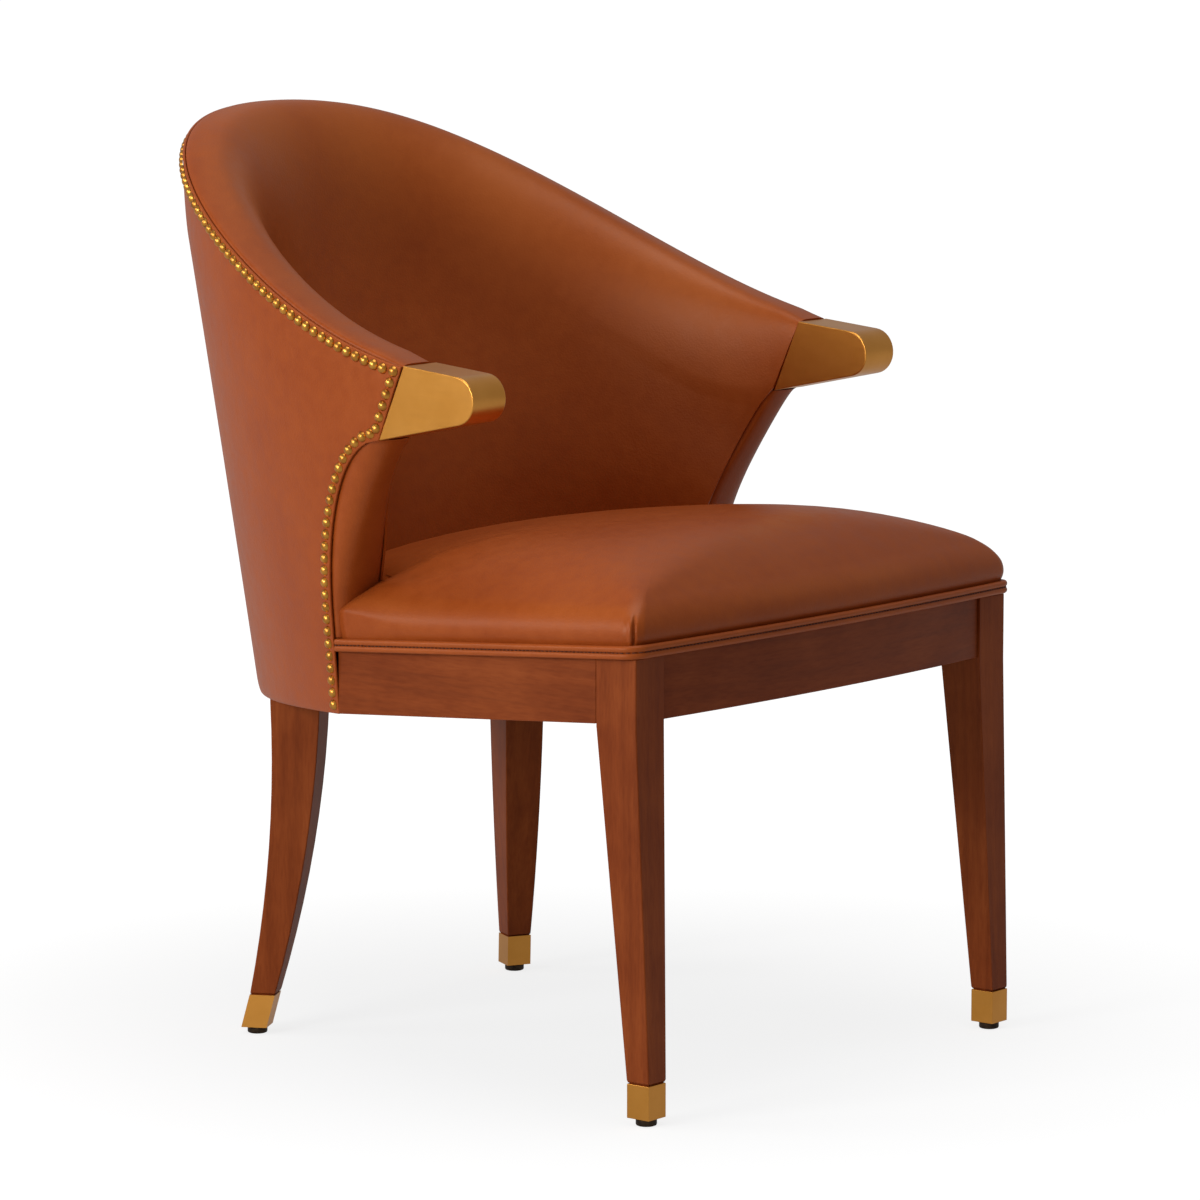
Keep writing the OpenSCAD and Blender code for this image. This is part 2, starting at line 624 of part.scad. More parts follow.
// How far the crest stands over its seam; the leather is drawn down to the caps at its ends
function crown(u) = mix(crest_rise, crest_rise_back, sin(90 * u)) - (u == 0 ? cap_flush : 0);
function low_w(u) = mix(wall_low_arm, wall_low_back, pow(sin(90 * u), 2.5));
function inside_low_z(u) =
    plane_z(wall(mix(rail_turn, 90, u), plan_low_z, low_w(u))[1], deck_h + gap);
function inside_w(u, s, inset) =
    let (edge = top_w + top_tuck * sin(90 * u), width = crest_w(u), a = 180 * (s - 1))
    s <= 1 ? mix(low_w(u), edge + width, s) + inside_swell * u * sin(180 * s) - inset
    : edge + width / 2 + (width / 2 - inset) * sign(cos(a)) * pow(abs(cos(a)), round_in(u, a));
function inside_z(u, s, inset) =
    let (top = crest_z(top_turn(u)), a = 180 * (s - 1), shoulder = a < 90 ? shoulder_in(u) : shoulder_out)
    s <= 1 ? mix(inside_low_z(u), top - shoulder_in(u), s)
    : top - shoulder + (shoulder + crown(u) - inset) * pow(sin(a), round_in(u, a));
function inside_point(u, s, inset, set) =
    let (w = inside_w(u, s, inset), z = inside_z(u, s, inset),
        turn = mix(front_turn(inside_z(0, s, inset), inside_w(0, s, inset), set), 90, u))
    wall(turn, z, w);
function arm_share(z) = (z - inside_low_z(0)) / (arm_h - shoulder_arm - inside_low_z(0));
crest_shares = [1, 1.07, 1.2, 1.5, 1.8, 2];
inside_shares = concat([0], [for (k = [0 : edge_steps])
    arm_share(mix(curve_low_z, cap_heel_z, sin(90 * k / edge_steps)))], crest_shares);
function inside_rows(inset, set) = [for (s = inside_shares)
    mirrored([for (j = [0 : columns]) inside_point(j / columns, s, inset, set)])];
module inside_cover() {
    color("#8a3f20") slab(inside_rows(leather_t, 0), inside_rows(0, 0));
}
// The padding's far side follows the frame, then lies over the crest rail
pad_back = frame_w + frame_t + webbing_t + 3 * gap;
pad_lift = 1.2;
pad_turn_in = 1.1;
function pad_point(u, s, set) =
    let (edge = top_tuck * sin(90 * u), far_w = pad_back + edge,
        over = max(0, s - pad_turn_in) / (2 - pad_turn_in),
        turn = mix(front_turn(min(inside_z(0, s, 0), arm_h - crest_drop + pad_lift), far_w, set), 90, u),
        z = s <= 1 ? inside_z(u, s, 0) : under_crest(turn, crest_drop - pad_lift))
    wall(turn, z, mix(far_w, edge + top_w + leather_t + gap, over));
module back_foam() {
    color("#e6d9a8") slab([for (s = inside_shares)
        mirrored([for (j = [0 : columns]) pad_point(j / columns, s, board_set)])],
        inside_rows(leather_t + gap, board_set));
}
// Three bands of webbing round the inside of the posts
band_w = frame_w + frame_t;
band_columns = 6;
function band_row(w, z) = mirrored([for (j = [0 : band_columns])
    wall(mix(turn_at(panel_y + 2 * board_set, z, w), 90, j / band_columns), z, w)]);
band_low_z = plane_z(panel_y, band_h / 2);
band_top_z = cap_heel_z - band_h;
module back_webbing() {
    color("#c8b68a") for (z = [band_low_z, (band_low_z + band_top_z) / 2, band_top_z])
        slab([band_row(band_w, z), band_row(band_w, z + band_h)],
            [band_row(band_w + webbing_t, z), band_row(band_w + webbing_t, z + band_h)]);
}

// Facing: the leather band on the front of each arm, crowned between its seams
facing_shares = [0, 0.35, 0.65, 0.85, 0.96, 1];
facing_cols = len(facing_shares) - 1;
// How far forward the pad is at a share of its width: full over most of it, round at the outside
function facing_full(t) = pow(1 - pow(t, 3.5), 0.6);
facing_rows = concat([plane_z(panel_y - facing_lead, gap)],
    [for (k = [1 : edge_steps]) mix(curve_low_z, cap_heel_z, sin(90 * k / edge_steps))]);
function facing_in_w(z) = inside_w(0, max(0, arm_share(z)), leather_t + gap);
function facing_point(z, j, back) =
    let (t = facing_shares[j], w = mix(facing_in_w(z), board_w, t),
        y = back ? facing_y(z, w) + facing_t : mix(facing_y(z, board_w), inner_y(z), facing_full(t)))
    wall(turn_at(y, z, w), min(z, cap_heel_z - gap), w);
module arm_facing() {
    slab([for (z = facing_rows) [for (j = [0 : facing_cols]) facing_point(z, j, false)]],
        [for (z = facing_rows) [for (j = [0 : facing_cols]) facing_point(z, j, true)]]);
}
module arm_facing_left() { color("#8a3f20") left_side() arm_facing(); }
module arm_facing_right() { color("#8a3f20") right_side() arm_facing(); }

// Seat: an outline of [x, y, low edge] points, left half first, closed by its mirror image.
// It follows the bowed front rail, a rounded corner, the side, the facing and the shell's inside.
seat_x = leg_outer_x + gap + seat_leather_t;
seat_front_y = leg_front_y - gap - seat_leather_t;
seat_mid_y = leg_front_y + 157;
skirt_h = -9;
seat_deck_h = webbing_t + gap;
notch_gap = 4.6;
wall_gap = 3.6;
notch_z = plane_z(panel_y, seat_edge_h);
notch_y = panel_y - facing_lead - notch_gap;
notch_turn = turn_at(notch_y, plan_low_z, wall_low_arm + wall_gap);
side_end_y = panel_y - 2 * notch_gap;
bow_points = 6;
curve_points = 7;
function notch_point(j) = let (p = facing_point(notch_z, j, false))
    [p[0], p[1] - notch_gap, seat_deck_h];
function inside_foot(u) = wall(mix(notch_turn, 90, u), inside_low_z(u), low_w(u) + wall_gap);
seat_half = concat(
    [for (i = [0 : bow_points]) let (x = (seat_x - seat_corner_r) * i / bow_points)
        [x, seat_front_y + bow_y(x, seat_x), skirt_h]],
    [for (a = [-60, -30, 0]) [seat_x + seat_corner_r * (cos(a) - 1),
        seat_front_y + seat_corner_r * (1 + sin(a)), skirt_h]],
    [for (t = [0.33, 0.67, 1]) [seat_x, mix(seat_front_y + seat_corner_r, side_end_y, t), skirt_h]],
    [[seat_x, side_end_y + gap, seat_deck_h]],
    [for (j = [4, 3, 2, 0]) notch_point(j)],
    [for (i = [0 : curve_points]) let (p = inside_foot(i / curve_points))
        [p[0], i == 0 ? notch_y : p[1], seat_deck_h]]);
seat_line = concat(seat_half, [for (j = [len(seat_half) - 2 : -1 : 1])
    [-seat_half[j][0], seat_half[j][1], seat_half[j][2]]]);
seat_n = len(seat_line);
function seat_out(i) =
    let (d = seat_line[(i + 1) % seat_n] - seat_line[(i + seat_n - 1) % seat_n], n = norm([d[0], d[1]]))
    [d[1] / n, -d[0] / n];
// Towards the middle the rings of the crown change from the outline to two half ellipses
crown_front = seat_mid_y - seat_front_y;
crown_back = inside_foot(1)[1] - seat_mid_y;
function round_r(x, y) = norm([x, y]) / norm([x / seat_x, y / (y < 0 ? crown_front : crown_back)]);
function seat_point(i, inset, h, t = 1) =
    let (p = seat_line[i], n = seat_out(i), x = p[0] - n[0] * inset, y = p[1] - n[1] * inset - seat_mid_y,
        s = t * mix(round_r(x, y) / norm([x, y]), 1, t * t), out_y = seat_mid_y + y * s)
    [x * s, out_y, plane_z(out_y, h)];
crown_power = 3.6;
function crown_h(t) = seat_edge_h + seat_crown * (1 - pow(t, crown_power));
seat_shares = [0.97, 0.91, 0.82, 0.66, 0.4, 0.06];
seat_swell = 2;
swell_at = 0.45;
shoulder_swell = 0.6;
function seat_ring(inset, h, t = 1) = [for (i = [0 : seat_n - 1]) seat_point(i, inset, h, t)];
function seat_rings(inset) = concat(
    [seat_ring(inset, webbing_t), seat_ring(inset - seat_swell, seat_edge_h * swell_at),
        seat_ring(inset - seat_swell * shoulder_swell, seat_edge_h - inset)],
    [for (t = seat_shares) seat_ring(inset, crown_h(t) - inset, t)]);
module seat_cover() {
    low = [for (i = [0 : seat_n - 1]) seat_point(i, 0, seat_line[i][2])];
    low_in = [for (i = [0 : seat_n - 1]) seat_point(i, seat_leather_t, seat_line[i][2])];
    color("#9b4826") skin(concat([low], seat_rings(0)), concat([low_in], seat_rings(seat_leather_t)));
}
module seat_foam() {
    inset = seat_leather_t + 2 * gap;
    rings = seat_rings(inset);
    upper = [for (i = [1 : len(rings) - 1]) rings[i]];
    color("#e6d9a8") stack(concat([seat_ring(inset, seat_deck_h)], upper));
}
// Double welt round the front and sides, two cords one above the other
welt_last = bow_points + 6;
welt_sides = 6;
welt_low_h = -8.2;
function welt_ring(k, h) =
    let (i = (k + seat_n) % seat_n, c = seat_line[i], n = abs(k) == welt_last ? [sign(k), 0] : seat_out(i),
        p = [c[0], abs(k) == welt_last ? step_y - gap : c[1]])
    [for (j = [0 : welt_sides - 1])
        let (a = 360 * j / welt_sides, out = seat_gap + welt_r * (1 + cos(a)), y = p[1] + n[1] * out)
        [p[0] + n[0] * out, y, plane_z(y, h + welt_r * sin(a))]];
module welt_cord(h) {
    stack([for (k = [welt_last : -1 : -welt_last]) welt_ring(k, h)]);
}
module seat_welt() {
    color("#97482a") union() {
        welt_cord(welt_low_h);
        welt_cord(welt_low_h + 2 * welt_r - 0.1);
    }
}
// Webs lie on the rails under the padding, laced over and under into one net
module web(x, y, w, d) {
    translate([x - w / 2, y - d / 2, rail_low_z]) cube([w, d, far]);
}
web_front_y = leg_front_y + rail_t / 2;
web_pitch = 1.7 * web_w;
long_webs = [-1.5, -0.5, 0.5, 1.5];
cross_webs = [1.6, 3, 4.4];
// Where a web whose outer edge is at x ends, halfway across the bent rails
function web_end_y(x) = let (w = rail_skin + rail_t / 2)
    wall(acos(x / (half_w(rail_wall_z) - w)), rail_wall_z, w)[1];
module seat_webbing() {
    color("#c8b68a") between_planes(seat_gap, webbing_t) union() {
        for (k = long_webs) {
            end_y = web_end_y(abs(k) * web_pitch + web_w / 2);
            web(k * web_pitch, (web_front_y + end_y) / 2, web_w, end_y - web_front_y);
        }
        for (k = cross_webs)
            web(0, leg_front_y + k * web_w, 2 * leg_outer_x - rail_t, web_w);
    }
}
dust_t = 1;
module dust_cover() {
    color("#2a2624") difference() {
        between_planes(-rail_h - dust_t - seat_gap, -rail_h - seat_gap) linear_extrude(far) polygon(concat(
            [[-leg_in_x, leg_front_y + rail_t / 2], [leg_in_x, leg_front_y + rail_t / 2],
            [leg_in_x, leg_back_y + gap], [leg_outer_x - rail_t / 2, leg_back_y + gap]],
            rail_curve(rail_turn, 180 - rail_turn, rail_skin + rail_t / 2, 2 * side_steps),
            [[rail_t / 2 - leg_outer_x, leg_back_y + gap], [-leg_in_x, leg_back_y + gap]]));
        both_sides() translate([rear_leg_x, rear_leg_y, 0]) rotate([0, 0, -rear_leg_turn])
            translate([-rear_leg_w / 2 - gap, -rear_leg_d / 2 - gap, 0])
            cube([rear_leg_w + 2 * gap, rear_leg_d + 2 * gap, far]);
    }
}

// Arm caps: a brass wedge with a half-round nose, bored in its back face for the studs
cap_mid_x = half_w(arm_h) - top_w + 1 - cap_w / 2;
nose_steps = 16;
cap_top = [cap_back_y, cap_top_z];
cap_low = [cap_heel_y, cap_heel_z];
cap_nose = [cap_nose_y, cap_nose_z];
// The direction in which a line from p just touches the nose, above it (1) or below it (-1)
function touch_angle(p, side) = let (d = p - cap_nose)
    atan2(d[1], d[0]) + side * acos(cap_nose_r / norm(d));
nose_from = touch_angle(cap_top, 1);
nose_to = touch_angle(cap_low, -1) + 360;
module arm_cap() {
    difference() {
        translate([cap_mid_x - cap_w / 2, 0, 0]) rotate([90, 0, 90]) linear_extrude(cap_w)
            polygon(concat([cap_low, cap_top], [for (i = [0 : nose_steps])
                let (a = mix(nose_from, nose_to, i / nose_steps)) cap_nose + cap_nose_r * [cos(a), sin(a)]]));
        studs(fit_gap);
    }
}
module arm_cap_left() { color("#c68c3e") left_side() arm_cap(); }
module arm_cap_right() { color("#c68c3e") right_side() arm_cap(); }

// Nails: domed heads at an even pitch, along the crest and down each front edge
dome_r = (pow(nail_d / 2, 2) + pow(nail_rise, 2)) / (2 * nail_rise);
module nail(p, n) {
    translate(p + n * seat_gap) rotate([0, acos(n[2]), atan2(n[1], n[0])]) intersection() {
        translate([0, 0, nail_rise - dome_r]) sphere(r = dome_r, $fn = 24);
        translate([-nail_d, -nail_d, 0]) cube([2 * nail_d, 2 * nail_d, nail_d]);
    }
}
function skin_point(turn, z) = wall(turn, z, tuck(turn, crest_z(turn) - z));
function skin_normal(turn, z) = let (n = cross(skin_point(turn + 0.5, z) - skin_point(turn - 0.5, z),
    skin_point(turn, z + 1) - skin_point(turn, z - 1))) n / norm(n);
function crest_nail(turn) = let (z = under_crest(turn, nail_drop)) wall(turn, z, tuck(turn, nail_drop));
crest_nail_step = 2;
corner_turn = front_turn(arm_h - nail_drop, 0, 0);
crest_turns = concat([for (t = [90 : -crest_nail_step : corner_turn]) t], [corner_turn]);
function lengths(pts, i = 0, sum = 0) = i == len(pts) - 1 ? [sum]
    : concat([sum], lengths(pts, i + 1, sum + norm(pts[i + 1] - pts[i])));
crest_len = lengths([for (t = crest_turns) crest_nail(t)]);
crest_table = [for (i = [0 : len(crest_turns) - 1]) [crest_len[i], crest_turns[i]]];
crest_total = crest_len[len(crest_len) - 1] - nail_inset - nail_pitch / 2;
crest_count = floor(crest_total / nail_pitch);
module nails_crest() {
    color("#c99a3f") both_sides() for (i = [0 : crest_count - 1]) {
        turn = lookup((i + 0.5) * crest_total / crest_count, crest_table);
        nail(crest_nail(turn), skin_normal(turn, under_crest(turn, nail_drop)));
    }
}
edge_line = concat(
    [for (t = [0 : 0.25 : 1]) let (z = mix(arm_h - nail_drop, cap_heel_z, t)) [cap_face_y(z), z]],
    [for (k = [1 : 12]) let (b = 90 - 90 * k / 12)
        [panel_y - (panel_y - cap_heel_y) * (1 - cos(b)), mix(curve_low_z, cap_heel_z, sin(b))]],
    [[panel_y, panel_low_z + nail_inset]]);
function edge_nail(i) = let (a = edge_line[max(0, i - 1)], b = edge_line[min(len(edge_line) - 1, i + 1)],
    d = (b - a) / norm(b - a)) edge_line[i] + nail_inset * [-d[1], d[0]];
edge_nails = [for (i = [0 : len(edge_line) - 1]) edge_nail(i)];
edge_len = lengths(edge_nails);
edge_y_table = [for (i = [0 : len(edge_line) - 1]) [edge_len[i], edge_nails[i][0]]];
edge_z_table = [for (i = [0 : len(edge_line) - 1]) [edge_len[i], edge_nails[i][1]]];
edge_total = edge_len[len(edge_len) - 1];
edge_count = floor(edge_total / nail_pitch);
module edge_run() {
    for (i = [0 : edge_count]) {
        s = i * edge_total / edge_count;
        z = lookup(s, edge_z_table);
        turn = turn_at(lookup(s, edge_y_table), z);
        nail(skin_point(turn, z), skin_normal(turn, z));
    }
}
module nails_left() { color("#c99a3f") left_side() edge_run(); }
module nails_right() { color("#c99a3f") right_side() edge_run(); }

// Ferrules, inserts and glides
module ferrule_front() {
    difference() {
        stack([box_ring(foot_x, foot_y, foot_w, foot_w, ferrule_low_z),
            box_ring(foot_x, foot_y, foot_w, foot_w, ferrule_top_z)]);
        stack([box_ring(foot_x, foot_y, tenon_w + 2 * gap, tenon_w + 2 * gap, ferrule_low_z + ferrule_wall),
            box_ring(foot_x, foot_y, tenon_w + 2 * gap, tenon_w + 2 * gap, ferrule_top_z + 1)]);
        translate([foot_x, foot_y, 0]) cylinder(h = ferrule_top_z, d = insert_d);
    }
}
module ferrule_rear() {
    difference() {
        stack([rear_ring(ferrule_low_z), rear_ring(ferrule_top_z)]);
        stack([rear_ring(ferrule_low_z + ferrule_wall, 2 * ferrule_wall),
            rear_ring(ferrule_top_z + 1, 2 * ferrule_wall)]);
        translate([rear_foot_x, rear_foot_y, 0]) cylinder(h = ferrule_top_z, d = insert_d);
    }
}
module ferrule_front_left() { color("#c68c3e") left_side() ferrule_front(); }
module ferrule_front_right() { color("#c68c3e") right_side() ferrule_front(); }
module ferrule_rear_left() { color("#c68c3e") left_side() ferrule_rear(); }
module ferrule_rear_right() { color("#c68c3e") right_side() ferrule_rear(); }
module insert(x, y) {
    translate([x, y, tenon_low_z]) difference() {
        cylinder(h = insert_h, d = insert_d);
        translate([0, 0, -1]) cylinder(h = insert_h + 2, d = stem_d + 2 * fit_gap);
    }
}
module insert_front_left() { color("#b5b5b5") left_side() insert(foot_x, foot_y); }
module insert_front_right() { color("#b5b5b5") right_side() insert(foot_x, foot_y); }
module insert_rear_left() { color("#b5b5b5") left_side() insert(rear_foot_x, rear_foot_y); }
module insert_rear_right() { color("#b5b5b5") right_side() insert(rear_foot_x, rear_foot_y); }
glide_h = ferrule_low_z - gap;
glide_round = 1.5;
module glide(x, y) {
    r = glide_d / 2;
    translate([x, y, 0]) rotate_extrude() polygon([[0, 0], [r - glide_round, 0],
        [r - glide_round * 0.3, glide_round * 0.3], [r, glide_round], [r, glide_h - glide_round / 2],
        [r - glide_round / 2, glide_h], [stem_d / 2, glide_h], [stem_d / 2, insert_top_z],
        [0, insert_top_z]]);
}
module glide_front_left() { color("#4a3a28") left_side() glide(foot_x, foot_y); }
module glide_front_right() { color("#4a3a28") right_side() glide(foot_x, foot_y); }
module glide_rear_left() { color("#4a3a28") left_side() glide(rear_foot_x, rear_foot_y); }
module glide_rear_right() { color("#4a3a28") right_side() glide(rear_foot_x, rear_foot_y); }

front_leg_left();
front_leg_right();
rear_leg_left();
rear_leg_right();
front_rail();
side_rail_left();
side_rail_right();
back_rail();
corner_block_left();
corner_block_right();
block_screws();
rail_dowels();
arm_post_left();
arm_post_right();
back_post_left();
back_post_right();
crest_rail();
seat_webbing();
seat_foam();
seat_cover();
seat_welt();
dust_cover();
back_webbing();
back_foam();
inside_cover();
outside_board();
outside_cover();
arm_facing_left();
arm_facing_right();
nails_crest();
nails_left();
nails_right();
arm_cap_left();
arm_cap_right();
cap_studs();
ferrule_front_left();
ferrule_front_right();
ferrule_rear_left();
ferrule_rear_right();
insert_front_left();
insert_front_right();
insert_rear_left();
insert_rear_right();
glide_front_left();
glide_front_right();
glide_rear_left();
glide_rear_right();
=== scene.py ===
"""The looks of the upholstered armchair: wood, leather, brass, and the room it is shown in.
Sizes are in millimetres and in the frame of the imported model; a mesh is made in metres."""
import math

import bmesh
import bpy
import numpy as np
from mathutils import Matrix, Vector


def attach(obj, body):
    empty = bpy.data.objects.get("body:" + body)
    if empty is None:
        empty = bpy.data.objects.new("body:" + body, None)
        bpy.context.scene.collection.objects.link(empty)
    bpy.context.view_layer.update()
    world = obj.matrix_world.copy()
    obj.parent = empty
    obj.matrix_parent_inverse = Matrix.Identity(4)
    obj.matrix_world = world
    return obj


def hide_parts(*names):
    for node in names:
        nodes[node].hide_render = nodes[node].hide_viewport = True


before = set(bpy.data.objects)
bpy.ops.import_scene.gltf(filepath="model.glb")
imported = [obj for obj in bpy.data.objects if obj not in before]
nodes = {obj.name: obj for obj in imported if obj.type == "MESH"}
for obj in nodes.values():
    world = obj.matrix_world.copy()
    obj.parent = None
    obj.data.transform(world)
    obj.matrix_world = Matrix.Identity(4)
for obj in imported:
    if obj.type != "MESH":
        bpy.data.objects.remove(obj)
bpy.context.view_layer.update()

# --- Camera ---
# The photograph is taken from the chair's front right, a little above the arms, with a long
# lens from five metres away.
view_azimuth, view_elevation = math.radians(-51.0561), math.radians(7.8060)
camera_data = bpy.data.cameras.new("studio_camera")
camera_data.lens, camera_data.sensor_width = 169.75, 36.0
camera = bpy.data.objects.new("studio_camera", camera_data)
bpy.context.scene.collection.objects.link(camera)
camera.location = (-3.88925, -3.20852, 1.08217)
back = Vector((math.sin(view_azimuth) * math.cos(view_elevation),
               -math.cos(view_azimuth) * math.cos(view_elevation), math.sin(view_elevation)))
camera.rotation_euler = back.to_track_quat("Z", "Y").to_euler()
camera_data.clip_start, camera_data.clip_end = 0.1, 50.0
bpy.context.scene.camera = camera

# --- Legs and rails ---
# Solid beech, stained a reddish mahogany brown and finished with a satin lacquer. The edges
# are eased by hand, and the grain runs along each part.
EDGE_EASE = 1.3


def linear(code):
    """An sRGB hex colour as linear RGBA."""
    srgb = np.array([int(code[i:i + 2], 16) / 255 for i in (1, 3, 5)])
    return (*np.where(srgb <= 0.04045, srgb / 12.92, ((srgb + 0.055) / 1.055) ** 2.4), 1.0)


def add(tree, kind, inputs=None, stops=None, **settings):
    """Adds a shader node: settings are its own properties, inputs are values or links to other
    nodes' outputs, and stops are the colours of a ramp."""
    node = tree.nodes.new("ShaderNode" + kind)
    for name, value in settings.items():
        setattr(node, name, value)
    for place, (position, code) in enumerate(stops or ()):
        ends = node.color_ramp.elements
        stop = ends[place] if place < 2 else ends.new(position)
        stop.position, stop.color = position, linear(code)
    for name, value in (inputs or {}).items():
        if isinstance(value, bpy.types.NodeSocket):
            tree.links.new(value, node.inputs[name])
        else:
            node.inputs[name].default_value = value
    return node


def finish(name, **surface):
    """A new material, its nodes, the shader that they lead to, with its plain values set, and
    the object's own coordinates for its patterns."""
    material = bpy.data.materials.new(name)
    material.use_nodes = True
    shader = material.node_tree.nodes["Principled BSDF"]
    for socket, value in surface.items():
        shader.inputs[socket.replace("_", " ")].default_value = value
    place = add(material.node_tree, "TexCoord").outputs["Object"]
    return material, material.node_tree, shader, place


def noise(tree, place, scale, detail, **more):
    """Noise over a place; the scale is in patches to the metre."""
    return add(tree, "TexNoise", {"Vector": place, "Scale": scale, "Detail": detail, **more}
               ).outputs["Fac"]


def ramp(tree, value, *stops):
    """A colour that runs from stop to stop as a value rises."""
    return add(tree, "ValToRGB", {"Fac": value}, stops=stops).outputs["Color"]


def times(tree, one, other):
    """Two colours multiplied."""
    return add(tree, "Mix", {"Factor": 1.0, 6: one, 7: other},
               data_type="RGBA", blend_type="MULTIPLY").outputs[2]


def lay(tree, shader, colour, rough=None, bump=None):
    """Links a shader's colour; its roughness, as a value, what it gives at both ends, and the ends
    where they aren't 0 and 1; and its bump, as a height, a strength and a distance."""
    tree.links.new(colour, shader.inputs["Base Color"])
    if rough:
        ranged = add(tree, "MapRange", dict(zip(("Value", "To Min", "To Max", "From Min", "From Max"),
                                                rough)))
        tree.links.new(ranged.outputs["Result"], shader.inputs["Roughness"])
    if bump:
        raised = add(tree, "Bump", dict(zip(("Height", "Strength", "Distance"), bump)))
        tree.links.new(raised.outputs["Normal"], shader.inputs["Normal"])


def lacquered_beech(name, grain_along, pale, mid, dark):
    """Stained beech: long streaks and short rays stretched along the grain, under lacquer."""
    # Beech under a satin lacquer: IOR 1.5, with a soft broad gloss and no sharp highlight.
    material, tree, shader, place = finish(name, IOR=1.5, Specular_IOR_Level=0.2,
                                           Specular_Tint=linear("#ffd2b4"))
    # Growth streaks are about 9 mm wide and 260 mm long.
    wide = [1 / 0.26 if axis == grain_along else 1 / 0.009 for axis in "XYZ"]
    # Beech's dark rays are 0.6 mm wide and 4 mm long; drawn three times as coarse to show.
    fine = [1 / 0.014 if axis == grain_along else 1 / 0.0018 for axis in "XYZ"]
    streak_place = add(tree, "Mapping", {"Vector": place, "Scale": wide}).outputs["Vector"]
    ray_place = add(tree, "Mapping", {"Vector": place, "Scale": fine}).outputs["Vector"]
    streaks = noise(tree, streak_place, 1.0, 5.0, Roughness=0.45, Distortion=0.5)
    rays = noise(tree, ray_place, 1.0, 2.0)
    # The stain takes unevenly over patches of about 70 mm.
    cloud = noise(tree, place, 14.0, 2.0)
    streaked = ramp(tree, streaks, (0.30, dark), (0.72, pale), (0.50, mid))
    rayed = times(tree, streaked, ramp(tree, rays, (0.34, "#f1ebe6"), (0.60, "#ffffff")))
    clouded = times(tree, rayed, ramp(tree, cloud, (0.30, "#e4d6cc"), (0.64, "#ffffff")))
    lay(tree, shader, clouded, rough=(streaks, 0.40, 0.52), bump=(rays, 0.25, 0.0002))
    return material


def dress(names, material, ease=0.0, steps=3):
    """Gives CAD nodes their material, joins their loose triangles and eases their edges."""
    for name in names:
        piece = nodes[name]
        if "custom_normal" in piece.data.attributes:
            piece.data.attributes.remove(piece.data.attributes["custom_normal"])
        piece.data.polygons.foreach_set("use_smooth", np.ones(len(piece.data.polygons), bool))
        piece.data.materials.clear()
        piece.data.materials.append(material)
        weld = piece.modifiers.new("joined", "WELD")
        weld.merge_threshold = 0.00002
        if ease:
            bevel = piece.modifiers.new("eased", "BEVEL")
            bevel.width, bevel.segments = ease * 0.001, steps
            bevel.limit_method, bevel.angle_limit = "ANGLE", math.radians(32)
            bevel.use_clamp_overlap = False
            flat = piece.modifiers.new("flat_faces", "WEIGHTED_NORMAL")
            flat.keep_sharp = True
        else:
            split = piece.modifiers.new("crisp", "EDGE_SPLIT")
            split.split_angle = math.radians(38)


def pair(*names):
    """The left and the right piece of each name."""
    return [name + side for name in names for side in ("_left", "_right")]


leg_beech = lacquered_beech("stained_beech_upright", "Z", "#984a20", "#90441c", "#843c18")
cross_beech = lacquered_beech("stained_beech_crosswise", "X", "#914724", "#8a4120", "#803b1d")
side_beech = lacquered_beech("stained_beech_front_to_back", "Y", "#964920", "#8e431c", "#823c19")
dress(pair("front_leg", "rear_leg"), leg_beech, EDGE_EASE)
dress(["front_rail", "back_rail"], cross_beech, EDGE_EASE)
dress(pair("side_rail"), side_beech, EDGE_EASE)

# --- Joinery inside the frame ---
# Raw beech posts, crest rail, corner blocks and dowels, and zinc-plated screws and studs.
# They are glued and screwed, and the upholstery hides them.
raw_beech = lacquered_beech("raw_beech", "Z", "#c9a77c", "#b8946a", "#a5825a")
raw_beech_cross = lacquered_beech("raw_beech_crosswise", "X", "#c9a77c", "#b8946a", "#a5825a")


def spots(tree, place, width, **more):
    """Round spots over a place, each about a width in metres."""
    return add(tree, "TexVoronoi", {"Vector": place, "Scale": 1 / width, **more}
               ).outputs["Distance"]


zinc_steel, tree, shader, place = finish("zinc_plated_steel", Metallic=1.0, Roughness=0.38)
# Zinc plate has small spangles that differ a little in brightness.
spangle = spots(tree, place, 0.003)
lay(tree, shader, ramp(tree, spangle, (0.0, "#a9acae"), (0.8, "#c9cccd")))
dress(pair("arm_post", "back_post"), raw_beech, 0.8)
dress(["crest_rail", *pair("corner_block")], raw_beech_cross, 0.8)
dress(["rail_dowels"], raw_beech_cross)
dress(["block_screws", "cap_studs"], zinc_steel)

# --- Shape of the shell ---
# The back and arms are one curved wall. In plan it is a half ellipse that changes evenly with
# height, and its crest climbs in one sweep from the arm caps to the back.
overall_d, arm_h, back_h, rail_top_z, seat_tilt = 674.0, 630.0, 829.0, 408.0, math.radians(4)
front_bow, panel_set, rail_h = 13.0, 327.4, 66.0
leather_t, seat_leather_t, welt_r = 2.4, 1.7, 2.9
gap, seat_gap = 0.3, 0.15
low_half_w, high_half_w, low_reach, high_reach = 294.7, 303.0, 469.0, 339.0
fullness, back_lean, top_tuck, tuck_h, tuck_power = 0.16, 61.6, 8.0, 66.0, 1.4
plan_low_z, seam_w = 330.0, 2.0
nail_inset, nail_rise = 7.0, 3.4
cap_heel_z, cap_heel_set, cap_back_set = 564.5, 251.4, 223.4
curve_low_z, lead_low_z, lead_power, facing_lead, wall_low_arm = 408.0, 400.0, 1.62, 10.0, 55.0

